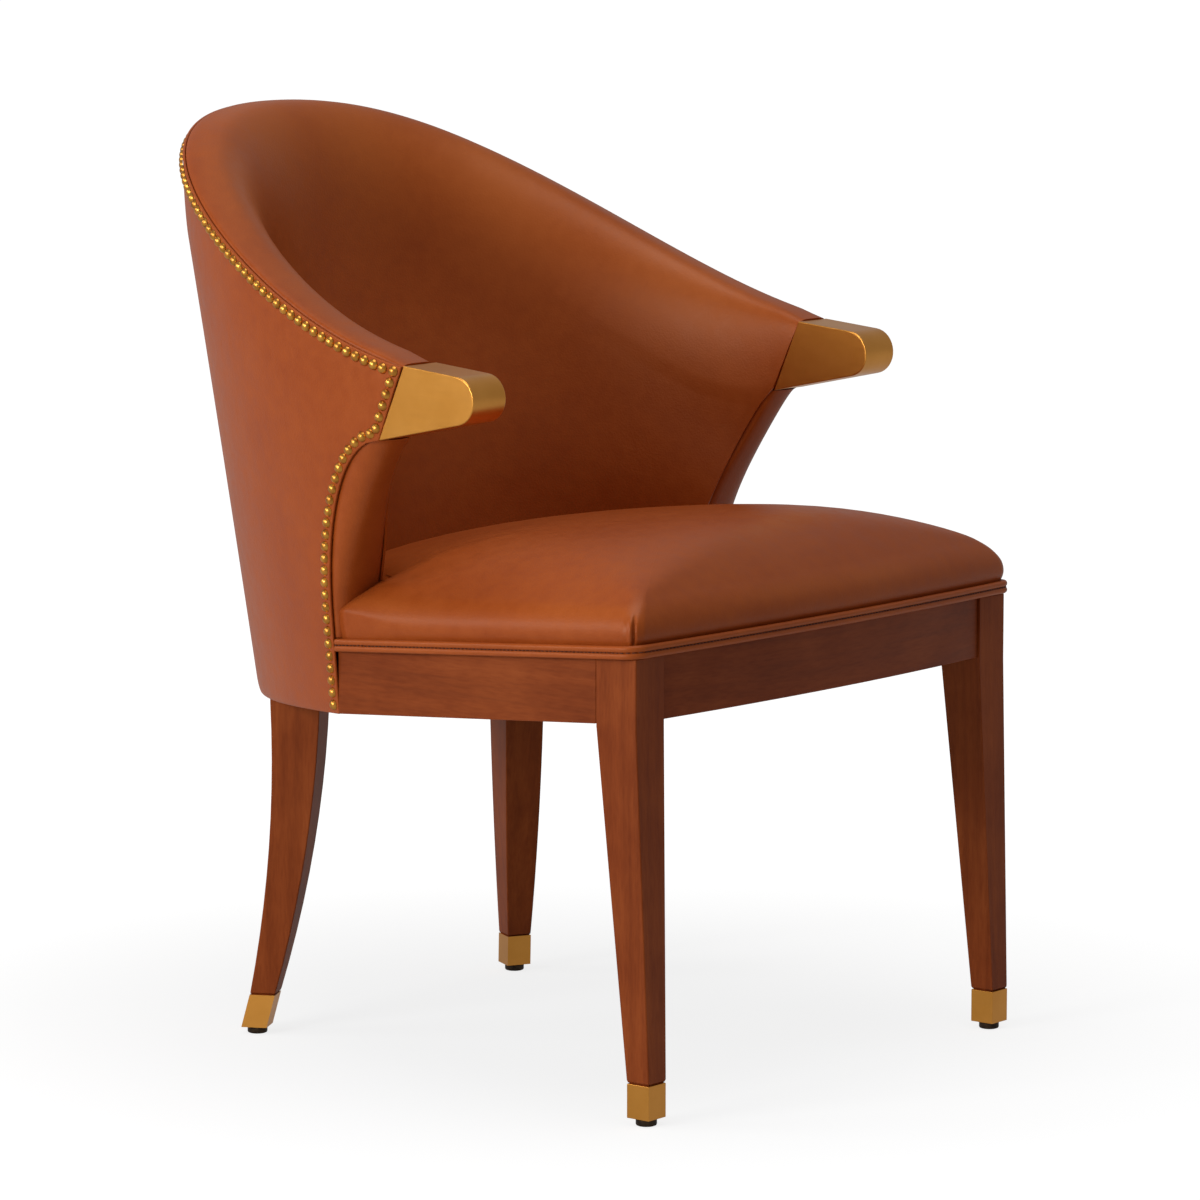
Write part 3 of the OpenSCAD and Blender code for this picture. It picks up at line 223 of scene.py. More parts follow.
leg_front_y = -overall_d / 2 + front_bow + gap + seat_leather_t + seat_gap + 2 * welt_r
panel_y = leg_front_y + panel_set
cap_heel_y = leg_front_y + cap_heel_set
cap_back_y = leg_front_y + cap_back_set
nail_tuck = top_tuck * (1 - nail_inset / tuck_h) ** tuck_power
high_back_y = (overall_d / 2 - seat_gap - nail_rise + nail_tuck
               + back_lean * nail_inset / (back_h - plan_low_z))
low_back_y = high_back_y - back_lean
top_back_y = high_back_y - top_tuck - seam_w
straight_back = math.pi / 2


def mix(a, b, t):
    """From a at t 0 to b at t 1."""
    return a + (b - a) * t


def signed_power(value, power):
    """The size of value to a power, with value's own sign."""
    return np.sign(value) * np.abs(value) ** power


def rise(z):
    """Height as a share, from the low outline to the crest of the back."""
    return (z - plan_low_z) / (back_h - plan_low_z)


def half_w(z):
    """Half the outline's width at a height."""
    return mix(low_half_w, high_half_w, rise(z))


def reach(z):
    """How far the outline's ellipse runs back from its middle at a height."""
    return mix(low_reach, high_reach, rise(z))


def mid_y(z):
    """Where the middle of the outline's ellipse lies at a height."""
    return low_back_y + back_lean * rise(z) - reach(z)


def plan_power(z):
    """The power of the outline's ellipse, which is a little fuller higher up."""
    return 2 / (2 + fullness * rise(z))


def wall(turn, z, depth):
    """A point of the wall: x and y are the ellipse's half axes, less the depth into the wall,
    times powers of the cosine and sine of the turn."""
    x = (half_w(z) - depth) * signed_power(np.cos(np.maximum(turn, 0)), plan_power(z))
    y = mid_y(z) + (reach(z) - depth) * signed_power(np.sin(turn), plan_power(z))
    return np.stack(np.broadcast_arrays(x, y, z), -1)


def turn_at(y, z, depth=0.0):
    """The turn at which the wall, at a depth, passes a given y."""
    share = signed_power((y - mid_y(z)) / (reach(z) - depth), 1 / plan_power(z))
    return np.arcsin(np.clip(share, -1, 1))


def tuck(turn, drop):
    """How far the top of the wall leans in: most at the back's crest, none tuck_h under it."""
    share = np.maximum(0, 1 - drop / tuck_h) ** tuck_power
    return top_tuck * np.sin(np.maximum(turn, 0)) * share


def crest_at(y):
    """Height of the crest: a cubic in y with slope 0.4 at the arms and 1.15 at the back."""
    t = (y - cap_back_y) / (top_back_y - cap_back_y)
    return arm_h + (back_h - arm_h) * ((t ** 3 - 2 * t ** 2 + t) * 0.4
                                       + (3 - 2 * t) * t ** 2 + (t ** 3 - t ** 2) * 1.15)


def crest_z(turn, drop=0.0):
    """Height of the crest seam, or of a line a drop under it, found in six steps."""
    z = np.full(np.shape(turn), arm_h)
    for _ in range(6):
        z = crest_at(wall(turn, z, seam_w + tuck(turn, 0))[..., 1]) - drop
    return z


def plane_z(y, h=0.0):
    """Height of a point h above the tilted plane of the rails' top."""
    return rail_top_z + h / math.cos(seat_tilt) - (y - leg_front_y) * math.tan(seat_tilt)


def cap_face_y(z):
    """The sloping back face of an arm cap."""
    return cap_heel_y + (cap_back_y - cap_heel_y) * (z - cap_heel_z) / (arm_h - cap_heel_z)


def edge_y(z):
    """The wall's front edge: upright, then a quarter ellipse forward to the cap, then along it."""
    t = np.clip((z - curve_low_z) / (cap_heel_z - curve_low_z), 0, 1)
    swept = panel_y - (panel_y - cap_heel_y) * (1 - np.sqrt(1 - t * t))
    return np.where(z < cap_heel_z, swept, cap_face_y(z) + gap)


def inner_y(z):
    """The facing's inner seam, which leads the front edge and sweeps forward sooner."""
    t = np.maximum(0, (z - lead_low_z) / (cap_heel_z - lead_low_z)) ** lead_power
    led = mix(panel_y - facing_lead, cap_heel_y, np.minimum(t, 1))
    return np.where(z < cap_heel_z, led, edge_y(z))


def facing_y(z, depth):
    """The front of the wall at a depth into it."""
    return mix(edge_y(z), inner_y(z), np.minimum(1, depth / wall_low_arm))


def front_turn(z, depth, behind=0.0):
    """The turn of the wall's front edge, or of a line a little behind it."""
    return turn_at(facing_y(z, depth) + max(behind, seat_gap), z, depth)


def quarter(share):
    """The sine of a share of a quarter turn."""
    return np.sin(straight_back * share)


def inward(side, flip=(-1, 1, 1)):
    """A half, given from the sitter's left front edge to the middle of the back, with its
    mirror image after it. Values without a direction take a flip of 1."""
    return np.concatenate([side, side[:, -2::-1] * np.array(flip)], 1)


arm_turn = turn_at(cap_back_y, arm_h)
rail_wall_z = plane_z(low_back_y, -rail_h)
rail_turn = turn_at(panel_y, rail_wall_z, leather_t + gap)
panel_low_z = plane_z(panel_y, -rail_h)


def piece_of(name, points, faces, material, wear_and_sheen=None, soft_edge=None):
    """An object from points in millimetres and faces of four. Points in one place are joined,
    and wear_and_sheen is a value for each point that its material reads: it paints the hide
    paler, partly for wear and partly as a painted sheen."""
    mesh = bpy.data.meshes.new(name)
    mesh.from_pydata((points.reshape(-1, 3) * 0.001).tolist(), [], faces.tolist())
    if wear_and_sheen is not None:
        # The point value that paints the hide paler: partly wear, partly painted sheen.
        worn = mesh.attributes.new("wear_and_sheen", "FLOAT", "POINT")
        worn.data.foreach_set("value", wear_and_sheen.astype(np.float32).ravel())
    work = bmesh.new()
    work.from_mesh(mesh)
    bmesh.ops.remove_doubles(work, verts=work.verts, dist=0.00001)
    bmesh.ops.dissolve_degenerate(work, edges=work.edges, dist=0.00001)
    work.to_mesh(mesh)
    work.free()
    mesh.polygons.foreach_set("use_smooth", np.ones(len(mesh.polygons), bool))
    if soft_edge is not None:
        mesh.set_sharp_from_angle(angle=math.radians(soft_edge))
    mesh.materials.append(material)
    piece = bpy.data.objects.new(name, mesh)
    bpy.context.scene.collection.objects.link(piece)
    return piece


def grid_faces(rows, columns, closed=False, start=0):
    """Faces between the points of a grid, in rows: each joins a point, the next one in its row
    and the two above. A closed grid also joins the last column to the first."""
    index = start + np.arange(rows * columns).reshape(rows, columns)
    after = np.roll(index, -1, 1)
    here = index if closed else index[:, :-1]
    after = after if closed else after[:, :-1]
    return np.stack([here[:-1], after[:-1], after[1:], here[1:]], -1).reshape(-1, 4)


def slab(name, front, behind, material, wear_and_sheen=None, soft_edge=None):
    """A closed piece between two grids of the same size: front faces out, and strips along the
    four edges join it to the one behind."""
    rows, columns = front.shape[:2]
    ring = np.concatenate([front, behind[:, ::-1]], 1)
    faces = grid_faces(rows, 2 * columns, closed=True)
    left, right = np.arange(columns - 1), 2 * columns - 1 - np.arange(columns - 1)
    ends = [np.stack([left, right, right - 1, left + 1], -1),
            np.stack([left + 1, right - 1, right, left], -1) + (rows - 1) * 2 * columns]
    if wear_and_sheen is not None:
        wear_and_sheen = np.concatenate([wear_and_sheen, np.zeros_like(wear_and_sheen)], 1)
    return piece_of(name, ring, np.concatenate([faces, *ends]), material, wear_and_sheen, soft_edge)


def piece_of_grids(name, grids, material, wear_and_sheen=None, closed=False):
    """One object from several grids of the same size."""
    grids = np.asarray(grids)
    count, rows, columns = grids.shape[:3]
    faces = [grid_faces(rows, columns, closed, i * rows * columns) for i in range(count)]
    return piece_of(name, grids, np.concatenate(faces), material, wear_and_sheen)


def thicken(piece, thickness, offset=0.0):
    """Gives a skin its thickness in millimetres: to both sides, or all inwards at offset -1."""
    thick = piece.modifiers.new("thickness", "SOLIDIFY")
    thick.thickness, thick.offset = thickness * 0.001, offset


# --- Webbing ---
# Natural jute webbing, 50 mm wide and woven over and under, is tacked over the seat rails. Three
# bands of it run round the inside of the posts to carry the back's padding.
web_w, web_t = 50.0, 1.3
leg_outer_x, rail_t = 266.0, 24.0


def calc(tree, operation, *values):
    """The result of one sum on values or links."""
    return add(tree, "Math", dict(enumerate(values)), operation=operation).outputs[0]


jute, tree, shader, place = finish("jute_webbing", Roughness=0.9, Sheen_Weight=0.3, IOR=1.45)
# Jute yarn is 1.2 mm thick, so the weave repeats every 2.4 mm.
yarns = {"Vector": place, "Scale": 1 / 0.0024 / 6.283, "Distortion": 0.4}
warp, weft = (add(tree, "TexWave", yarns, bands_direction=way).outputs["Fac"] for way in "XY")
weave = calc(tree, "MULTIPLY", warp, weft)
lay(tree, shader, ramp(tree, weave, (0.0, "#8d7348"), (0.9, "#cbb27f")), bump=(weave, 0.6, 0.0004))


def strap(start, end, half, lift):
    """A strap between two points of the seat's plane, waved up and down by lift along it."""
    along, across = np.meshgrid(np.linspace(0, 1, 48), np.linspace(-1, 1, 5), indexing="ij")
    way = np.array(end, float) - start
    side = np.array([way[1], -way[0]]) / np.hypot(*way)
    flat = np.array(start) + along[..., None] * way + across[..., None] * half * side
    z = plane_z(flat[..., 1], seat_gap + web_t / 2 + 0.25 * (1 + lift(flat[..., 0], flat[..., 1])))
    return np.concatenate([flat, z[..., None]], -1)


def over_under(x, y):
    """The up and down of a web over the others, 85 mm apart across and 70 mm along."""
    return np.sin(x / 85 * math.pi) * np.cos(y / 70 * math.pi)


half_web, front_web_y, side_web_x = web_w / 2, leg_front_y + rail_t / 2, leg_outer_x - rail_t / 2
# The webs end in the middle of the rail's thickness, and are drawn 1 mm narrower than made.
rail_mid = leather_t + gap + rail_t / 2
grids = []
for k in (-1.5, -0.5, 0.5, 1.5):
    x = k * 1.7 * web_w
    edge = abs(x) + half_web
    end_y = wall(np.arccos(edge / (half_w(rail_wall_z) - rail_mid)), rail_wall_z, rail_mid)[1]
    grids.append(strap((x, front_web_y), (x, end_y), half_web - 0.5, over_under))
for k in (1.6, 3.0, 4.4):
    y = leg_front_y + k * web_w
    grids.append(strap((-side_web_x, y), (side_web_x, y), half_web - 0.5,
                       lambda x, y: -over_under(x, y)))
seat_webs = piece_of_grids("seat_webs", grids, jute)
thicken(seat_webs, web_t)
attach(seat_webs, "root")
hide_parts("seat_webbing")

# The back's bands lie on the posts, which are frame_t thick and frame_w inside the outline.
band_h, frame_w, frame_t = 45.0, 7.0, 24.0
band_low_z, band_top_z = plane_z(panel_y, band_h / 2), cap_heel_z - band_h
grids = []
for z in (band_low_z, (band_low_z + band_top_z) / 2, band_top_z):
    up, u = np.meshgrid(np.linspace(0.02, 0.98, 5), np.linspace(0, 1, 40), indexing="ij")
    level = z + band_h * up
    turn = mix(turn_at(panel_y + 28, level, frame_w + frame_t), straight_back, u)
    grids.append(inward(wall(turn, level, frame_w + frame_t + web_t / 2 + 0.2)))
back_webs = piece_of_grids("back_webs", grids, jute)
thicken(back_webs, web_t)
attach(back_webs, "root")
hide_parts("back_webbing")

# --- Back padding and inside leather ---
# One moulded foam pad lies on the webbing and rolls over the crest rail. A single hide is drawn
# over it from the seat up and over the crest, and closed at the seam just above the nails.
crest_w_arm, crest_w_back, wall_low_back = 41.4, 60.0, 105.0
arm_swell, back_swell, crest_rise, crest_rise_back = 5.0, 10.0, 5.0, 1.0
shoulder_arm, shoulder_back, shoulder_out = 78.0, 100.0, 3.0
round_arm, round_back, crest_round = 0.33, 0.80, 0.55
top_w, deck_h = seam_w + 2 * gap, 2.3
crest_drop, board_set = 12.0, 14.0


def crest_w(u):
    """Width of the crest from the arms, u 0, to the back, u 1."""
    return mix(crest_w_arm, crest_w_back, quarter(np.minimum(1, 2 * u)) ** 0.7)


def opened(u):
    """How far the crest's inner roll has opened: 0 at the caps, where it is tight, and nearly 1
    from a quarter of the way round, as an exponential."""
    return 1 - np.exp(-u / 0.12)


def shoulder_in(u):
    """How far under the crest its inner roll begins."""
    return mix(shoulder_arm, shoulder_back, opened(u))


def low_w(u):
    """Thickness of the wall at the seat."""
    return mix(wall_low_arm, wall_low_back, quarter(u) ** 2.5)


def inside_low_z(u):
    """The pad's lower edge, just above the seat's deck."""
    low_y = wall(mix(rail_turn, straight_back, u), plan_low_z, low_w(u))[..., 1]
    return plane_z(low_y, deck_h + gap)


def inside_w(u, s, inset=0.0):
    """Depth of the padding's face: s 0 to 1 climbs it on an S with a swell in its middle, and
    s 1 to 2 goes over the crest on two quarter superellipses, the inner one wider."""
    edge, width, a = top_w + top_tuck * quarter(u), crest_w(u), math.pi * (s - 1)
    climb = mix(low_w(u), edge + width, s - np.sin(2 * math.pi * s) / (2 * math.pi)) - inset
    climb = climb + mix(arm_swell, back_swell, u) * np.maximum(np.sin(math.pi * s), 0) ** 3
    inner = a < straight_back
    power = np.where(inner, mix(round_arm, round_back, opened(u)), crest_round)
    top_share = mix(0.5, 0.36, opened(u))
    span = np.where(inner, 1 - top_share, top_share) * width - inset
    over = edge + top_share * width + span * signed_power(np.cos(a), power)
    return np.where(s <= 1, climb, over)


def inside_z(u, s, inset=0.0):
    """Height of the padding's face, on the same two stretches."""
    top, a = crest_z(mix(arm_turn, straight_back, u)), math.pi * (s - 1)
    shoulder = np.where(a < straight_back, shoulder_in(u), shoulder_out)
    power = np.where(a < straight_back, mix(round_arm, round_back, opened(u)), crest_round)
    climb = mix(inside_low_z(u), top - shoulder_in(u), s)
    # At the caps the hide is drawn down to the brass over its last 12 mm.
    crown = mix(crest_rise, crest_rise_back, quarter(u)) - 3.6 * np.exp(-(u / 0.018) ** 2)
    over = top - shoulder + (shoulder + crown - inset) * np.maximum(np.sin(a), 0) ** power
    return np.where(s <= 1, climb, over)


def inside_point(u, s, inset=0.0, behind=0.0):
    """A point of the padding's face, from the arm's front edge, u 0, to the back, u 1."""
    w, z = inside_w(u, s, inset), inside_z(u, s, inset)
    first = front_turn(inside_z(0 * u, s, inset), inside_w(0 * u, s, inset), behind)
    return wall(mix(first, straight_back, u), z, w)


# Leather: drum-dyed cowhide with a light pigment and wax finish, which gives the eye a warm
# brown that varies softly over a hand's width and a fine pebble. Its edges and crests are
# painted paler: partly wear, partly a painted sheen.
leather, tree, shader, place = finish("waxed_cowhide", IOR=1.48, Specular_IOR_Level=0.34,
                                      Specular_Tint=linear("#ffd9be"))
# The dye varies over patches of about 120 mm, and the finish over 12 mm.
patches = noise(tree, place, 8.0, 3.0)
mottle = noise(tree, place, 80.0, 4.0, Roughness=0.6)
# The pebble of the grain is 0.8 mm wide; drawn at 2 mm so that it shows.
pebble = spots(tree, place, 0.002)
pores = noise(tree, place, 900.0, 3.0)
# Soft hollows where the hide lies over the padding are about 35 mm across.
hollows = noise(tree, place, 28.0, 1.5)
# Each point's wear_and_sheen value: partly rubbed wear, partly a painted sheen on edges and crests.
wear_and_sheen = add(tree, "Attribute", attribute_name="wear_and_sheen").outputs["Fac"]
dyed = ramp(tree, patches, (0.28, "#9b4516"), (0.74, "#a64f1c"), (0.50, "#a14a18"))
toned = times(tree, dyed, ramp(tree, mottle, (0.30, "#f3ece8"), (0.66, "#ffffff")))
# Where that value is high the hide is painted paler, towards #b9632c: wear plus painted sheen.
rubbed_and_sheen = add(tree, "Mix", {"Factor": wear_and_sheen, 6: toned, 7: linear("#b9632c")}, data_type="RGBA")
lay(tree, shader, rubbed_and_sheen.outputs[2], rough=(mottle, 0.36, 0.45, 0.3, 0.7))
fine_bump = add(tree, "Bump", {"Height": calc(tree, "ADD", pebble, pores), "Strength": 0.35,
                               "Distance": 0.00022}).outputs["Normal"]
broad_bump = add(tree, "Bump", {"Height": hollows, "Strength": 0.18, "Distance": 0.0030,
                                "Normal": fine_bump}).outputs["Normal"]
tree.links.new(broad_bump, shader.inputs["Normal"])

# Foam: cut polyurethane foam, cream, with open cells of about 1 mm.
foam, tree, shader, place = finish("cream_foam", Roughness=0.95, IOR=1.3)
cells = spots(tree, place, 0.0012)
lay(tree, shader, ramp(tree, cells, (0.0, "#d6c68e"), (0.7, "#ece1b4")), bump=(cells, 0.5, 0.0005))


def face_steps(climb, over):
    """Steps of s: evenly up the face, then over the crest, closer together at both its ends."""
    return np.concatenate([np.linspace(0, 1, climb),
                           1.5 - 0.5 * np.cos(np.linspace(0, math.pi, over)[1:])])


s, u = np.meshgrid(face_steps(40, 34), np.linspace(0, 1, 72), indexing="ij")
face = inward(inside_point(u, s))[:, ::-1]
behind = inward(inside_point(u, s, leather_t))[:, ::-1]
# The hide is painted paler along the crest, most at its inner edge: partly wear where a hand and
# a sleeve pass, partly a painted sheen.
rubbing_and_sheen = np.exp(-((s - 1.25) / 0.30) ** 2) * (0.30 + 0.25 * np.sin(9 * u) ** 2)
inside_leather = slab("inside_leather", face, behind, leather, inward(rubbing_and_sheen, 1)[:, ::-1],
                      soft_edge=50)
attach(inside_leather, "root")
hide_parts("inside_cover")

# The pad's far side stands 2 mm off the webbing, and closes over the crest rail 1.2 mm above it.
pad_back, pad_drop = frame_w + frame_t + 2 + 3 * gap, crest_drop - 1.2
s, u = np.meshgrid(face_steps(14, 12), np.linspace(0, 1, 30), indexing="ij")
edge = top_tuck * quarter(u)
over = np.maximum(0, s - 1.1) / 0.9
first = front_turn(np.minimum(inside_z(0 * u, s), arm_h - pad_drop), pad_back, board_set)
turn = mix(first, straight_back, u)
z = np.where(s <= 1, inside_z(u, s), crest_z(turn, pad_drop))
pad_far = wall(turn, z, mix(pad_back + edge, edge + top_w + leather_t + gap, over))
pad_face = inside_point(u, s, leather_t + gap, board_set)
back_pad = slab("back_padding", inward(pad_face)[:, ::-1], inward(pad_far)[:, ::-1], foam,
                soft_edge=50)
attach(back_pad, "root")
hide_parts("back_foam")

# --- Arm facings ---
# The front of each arm is a narrow padded band of the same hide, sewn to the inside leather and
# tucked under the nailed edge. It bulges between its two seams.
board_w, facing_t = leather_t + 1, 9.0
levels = np.concatenate([np.linspace(plane_z(panel_y - facing_lead, gap), curve_low_z, 5)[:-1],
                         mix(curve_low_z, cap_heel_z - gap, quarter(np.linspace(0, 1, 46)))])
for side, name in ((1, "left"), (-1, "right")):
    z, t = np.meshgrid(levels, quarter(np.linspace(0, 1, 26)), indexing="ij")
    arm_share = (z - inside_low_z(0.0)) / (arm_h - shoulder_arm - inside_low_z(0.0))
    w = mix(inside_w(0 * z, np.maximum(0, arm_share), leather_t + gap), board_w, t)
    full = (1 - t ** 5) ** 0.55
    # The seam at the inside leather pulls the band in over its last 3 mm.
    nip = 2.0 * np.exp(-(t * 15) ** 2)
    # The band is stuffed, so its middle stands forward, most under the cap.
    up = (z - curve_low_z) / (cap_heel_z - curve_low_z)
    stuffed = 4.0 * np.sin(math.pi * t) * (0.45 + 0.55 * up)
    front_y = mix(facing_y(z, board_w), inner_y(z), full) + nip - stuffed
    front = wall(turn_at(front_y, z, w), z, w)
    rear_y = facing_y(z, w) + facing_t
    rear = wall(turn_at(rear_y, z, w), z, w)
    flip = np.array([side, 1, 1])
    front, rear = (front * flip)[:, ::side], (rear * flip)[:, ::side]
    # The band is painted paler over its front and falls back to the plain hide at its inner seam:
    # painted light and shade on its bulge.
    band = slab("facing_" + name, front, rear, leather, 0.10 * full[:, ::side], soft_edge=60)
    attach(band, "root")
    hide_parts("arm_facing_" + name)

# --- Outside leather ---
# A second hide wraps the outside over a thin fibre board. It is rolled under the rails, turned
# in along the front edges and the crest seam, and held there by the nails.
hardboard, tree, shader, place = finish("fibre_board", Roughness=0.85, IOR=1.45)
# Its pressed fibres are about 1.5 mm long.
fibres = noise(tree, place, 700.0, 3.0)
lay(tree, shader, ramp(tree, fibres, (0.3, "#8a6a42"), (0.7, "#a98558")))
dress(["outside_board"], hardboard)

roll_r, roll_in = 10.0, 2.7
# The grid is finer over the roll and beside the front edge.
share, u = np.meshgrid(np.concatenate([np.linspace(0, 0.03, 9), np.linspace(0.03, 1, 90)[1:]]),
                       np.concatenate([np.linspace(0, 0.06, 9), np.linspace(0.06, 1, 90)[1:]]),
                       indexing="ij")
front_z = mix(panel_low_z, arm_h - 1, share)
turn = mix(front_turn(front_z, 0.0), straight_back, u)
y_low = wall(mix(rail_turn, straight_back, u), plan_low_z, 0.0)[..., 1]
top = crest_z(mix(arm_turn, straight_back, u)) - 1
z = mix(plane_z(y_low, -rail_h), top, share)
height = front_z - panel_low_z
rolled = np.where(height > roll_r, 0, 1 - np.sqrt(1 - np.clip(1 - height / roll_r, 0, 1) ** 2))
rolled = roll_in * rolled * np.minimum(1, 6 * u + 0.15)
# Each nail draws the hide in a little, so a shallow trough runs along the nail lines.
trough = 0.5 * np.exp(-((top + 1 - z - nail_inset - 1) / 5.0) ** 2)
skin = inward(wall(turn, z, rolled + trough + tuck(turn, top + 1 - z)))
# Along the crest seam the hide is painted paler: partly wear, partly a painted sheen.
rubbing_and_sheen = 0.10 * np.exp(-((top - z) / 12.0) ** 2)
outside_leather = piece_of("outside_leather", skin, grid_faces(*skin.shape[:2]), leather,
                           inward(rubbing_and_sheen, 1))
thicken(outside_leather, leather_t, -1.0)
rounded = outside_leather.modifiers.new("turned_edge", "BEVEL")
rounded.width, rounded.segments, rounded.angle_limit = 0.0009, 3, math.radians(60)
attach(outside_leather, "root")
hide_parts("outside_cover")

# --- Seat ---
# A crowned foam cushion under one tight hide. Its front corners are darted with a short upright
# seam, and its edge is drawn down to the rails on three sides and tucked in at the back.
seat_edge_h, seat_crown, seat_corner_r, crown_power = 23.0, 61.5, 12.0, 3.6
skirt_h, notch_gap, wall_gap, seat_swell = -9.0, 1.4, 1.4, 2.2
seat_x = leg_outer_x + gap + seat_leather_t
seat_front_y = leg_front_y - gap - seat_leather_t
seat_mid_y = leg_front_y + 157
notch_y = panel_y - facing_lead - notch_gap
side_end_y = panel_y - 7.4
notch_z = plane_z(panel_y, seat_edge_h)


def bow(x):
    """How far the front bows out at x: a parabola across the seat."""
    return -front_bow * (1 - (x / seat_x) ** 2)


def notch_line(t):
    """The edge of the seat where it is cut round a facing, at a share t of the facing's width:
    it follows the facing's front, less its stuffing."""
    arm_share = (notch_z - inside_low_z(0.0)) / (arm_h - shoulder_arm - inside_low_z(0.0))
    w = mix(inside_w(0 * t, arm_share + 0 * t, leather_t + gap), board_w, t)
    y = mix(facing_y(notch_z, board_w), inner_y(notch_z), (1 - t ** 3.5) ** 0.6)
    return wall(turn_at(y, notch_z, w), notch_z, w)[:, :2] - [0, notch_gap]


def both_halves(half, flip=1):
    """The half outline, or a value for each of its columns, and its mirror image."""
    return np.concatenate([half, half[-2:0:-1] * flip])


x = np.linspace(0, seat_x - seat_corner_r, 40)[:-1]
a = np.linspace(-straight_back, 0, 33)
corner_x = seat_x + seat_corner_r * (np.cos(a) - 1)
corner_y = seat_front_y + seat_corner_r * (1 + np.sin(a)) + bow(corner_x)
front_line = np.stack([x, seat_front_y + bow(x)], -1)
corner_line = np.stack([corner_x, corner_y], -1)
side_y = np.linspace(seat_front_y + seat_corner_r, side_end_y, 46)[1:]
side_line = np.stack([np.full(45, seat_x), side_y], -1)
notch_from, notch_to = 0.86, 0.12
notch = notch_line(np.linspace(notch_from, notch_to, 8))
foot_u = np.linspace(0, 1, 40)
notch_turn = turn_at(notch_y, plan_low_z, wall_low_arm + wall_gap)
foot_line = wall(mix(notch_turn, straight_back, foot_u), inside_low_z(foot_u),
                 low_w(foot_u) + wall_gap)[:, :2]
foot_line[0, 1] = notch_y
half_line = np.concatenate([front_line, corner_line, side_line, notch, foot_line])
columns, front_count = len(half_line), len(half_line) - len(notch) - len(foot_line)
at_front = np.arange(columns) < front_count
at_notch = slice(front_count, front_count + len(notch))
line = both_halves(half_line, [-1, 1])
low_h = both_halves(np.where(at_front, skirt_h, deck_h))
away = np.roll(line, -1, 0) - np.roll(line, 1, 0)
away = np.stack([away[:, 1], -away[:, 0]], -1) / np.linalg.norm(away, axis=1)[:, None]
length = np.concatenate([[0], np.cumsum(np.linalg.norm(np.diff(line, axis=0), axis=1))])
angles = np.linspace(-math.pi, math.pi, 721)[:-1]


def blurred_round(values, x, y, blur):
    """A value of each column, blurred over its direction from the seat's middle by a Gaussian: its
    Fourier terms times exp(-(term x blur)^2 / 2)."""
    angle = np.arctan2(y, x)
    place = np.argsort(angle)
    even = np.interp(angles, angle[place], values[place], period=2 * math.pi)
    terms = np.fft.rfft(even)
    blurred = np.fft.irfft(terms * np.exp(-(np.arange(len(terms)) * blur) ** 2 / 2), 720)
    return np.interp(angle, angles, blurred, period=2 * math.pi)


# At the front and sides the shoulder is drawn in to a share of the seat's size; at the wall the
# hide turns down sharply and stands higher, and at the facing its columns slide along the facing.
shoulder_t, wall_t, far_wall_t, wall_drawn_in = 0.925, 0.89, 0.906, 0.02
notch_p = np.clip((np.arange(columns) - front_count + 1) / len(notch), 0, 1)
# The wall's columns are counted from the facing; the first few lead over to the wall's share.
last = len(foot_u) - 1
past_facing = np.linspace(-columns, last, columns + last)[-columns:]
behind_t = mix(wall_t, far_wall_t, 1 - np.exp(-np.maximum(0, past_facing) / 3.0))
top_share = both_halves(mix(shoulder_t, behind_t, notch_p))
drawn_in = both_halves(mix(1 - shoulder_t, wall_drawn_in, notch_p))
facing_at, mirrored_at = length[front_count], 2 * length[columns - 1] - length[front_count]
to_facing = np.minimum(np.abs(length - facing_at), np.abs(mirrored_at - length))
# Within 50 mm of a facing the hide is pulled up, on its side, its shoulder and its crown.
pulled = np.exp(-(to_facing / 50.0) ** 2)
low_lift, shoulder_lift, crown_lift = 14.0, 4.0, 2.5


def seat_ring(out, h, drawn=0.0, slide=0.0, t=1.0):
    """One ring of the seat: the outline moved out along its own normals, drawn in towards the
    middle, and taken to a share t of its size with corners that grow rounder on the way, three
    times as quickly at the back. The step in height beside a facing spreads out as well."""
    half = half_line.copy()
    if slide:
        share = mix(notch_from, notch_to, notch_p[at_notch])
        half[at_notch] = notch_line(mix(share, notch_to, 0.8 * slide))
        half[at_notch.stop - 1:at_notch.stop + 1, 1] = notch_y
    moved = both_halves(half, [-1, 1]) + away * np.reshape(out, (-1, 1))
    sliding = both_halves(~at_front & (notch_p < 1)) & (slide > 0)
    keep = 1 - np.where(sliding, 0, drawn)
    x, y = moved[:, 0] * keep, (moved[:, 1] - seat_mid_y) * keep
    share = t
    if t < 1:
        blur, size = 0.9 * (1 - t) ** 1.15, np.hypot(x, y)
        at_rear = np.clip(y / 120, 0, 1) ** 2
        rounder = mix(blurred_round(size, x, y, blur), blurred_round(size, x, y, 3 * blur), at_rear)
        share = t * rounder / blurred_round(size, x, y, 0.0)
        h = blurred_round(h, x, y, 0.5 * (1 - t) ** 0.6)
    y = seat_mid_y + y * share
    return np.stack([x * share, y, plane_z(y, h)], -1)


def crown_h(t):
    """Height of the crown at a share t of the seat's size."""
    return seat_edge_h + seat_crown * (1 - t ** crown_power)


side_rows, shoulder_rows, shoulder_low, shoulder_peak = 7, 14, 9.0, 24.5
crown_rows = (0.985, 0.965, 0.94, 0.91, 0.88, 0.84, 0.8, 0.75, 0.7, 0.64, 0.58, 0.51, 0.44, 0.36,
              0.28, 0.2, 0.12, 0.05, 0.005)


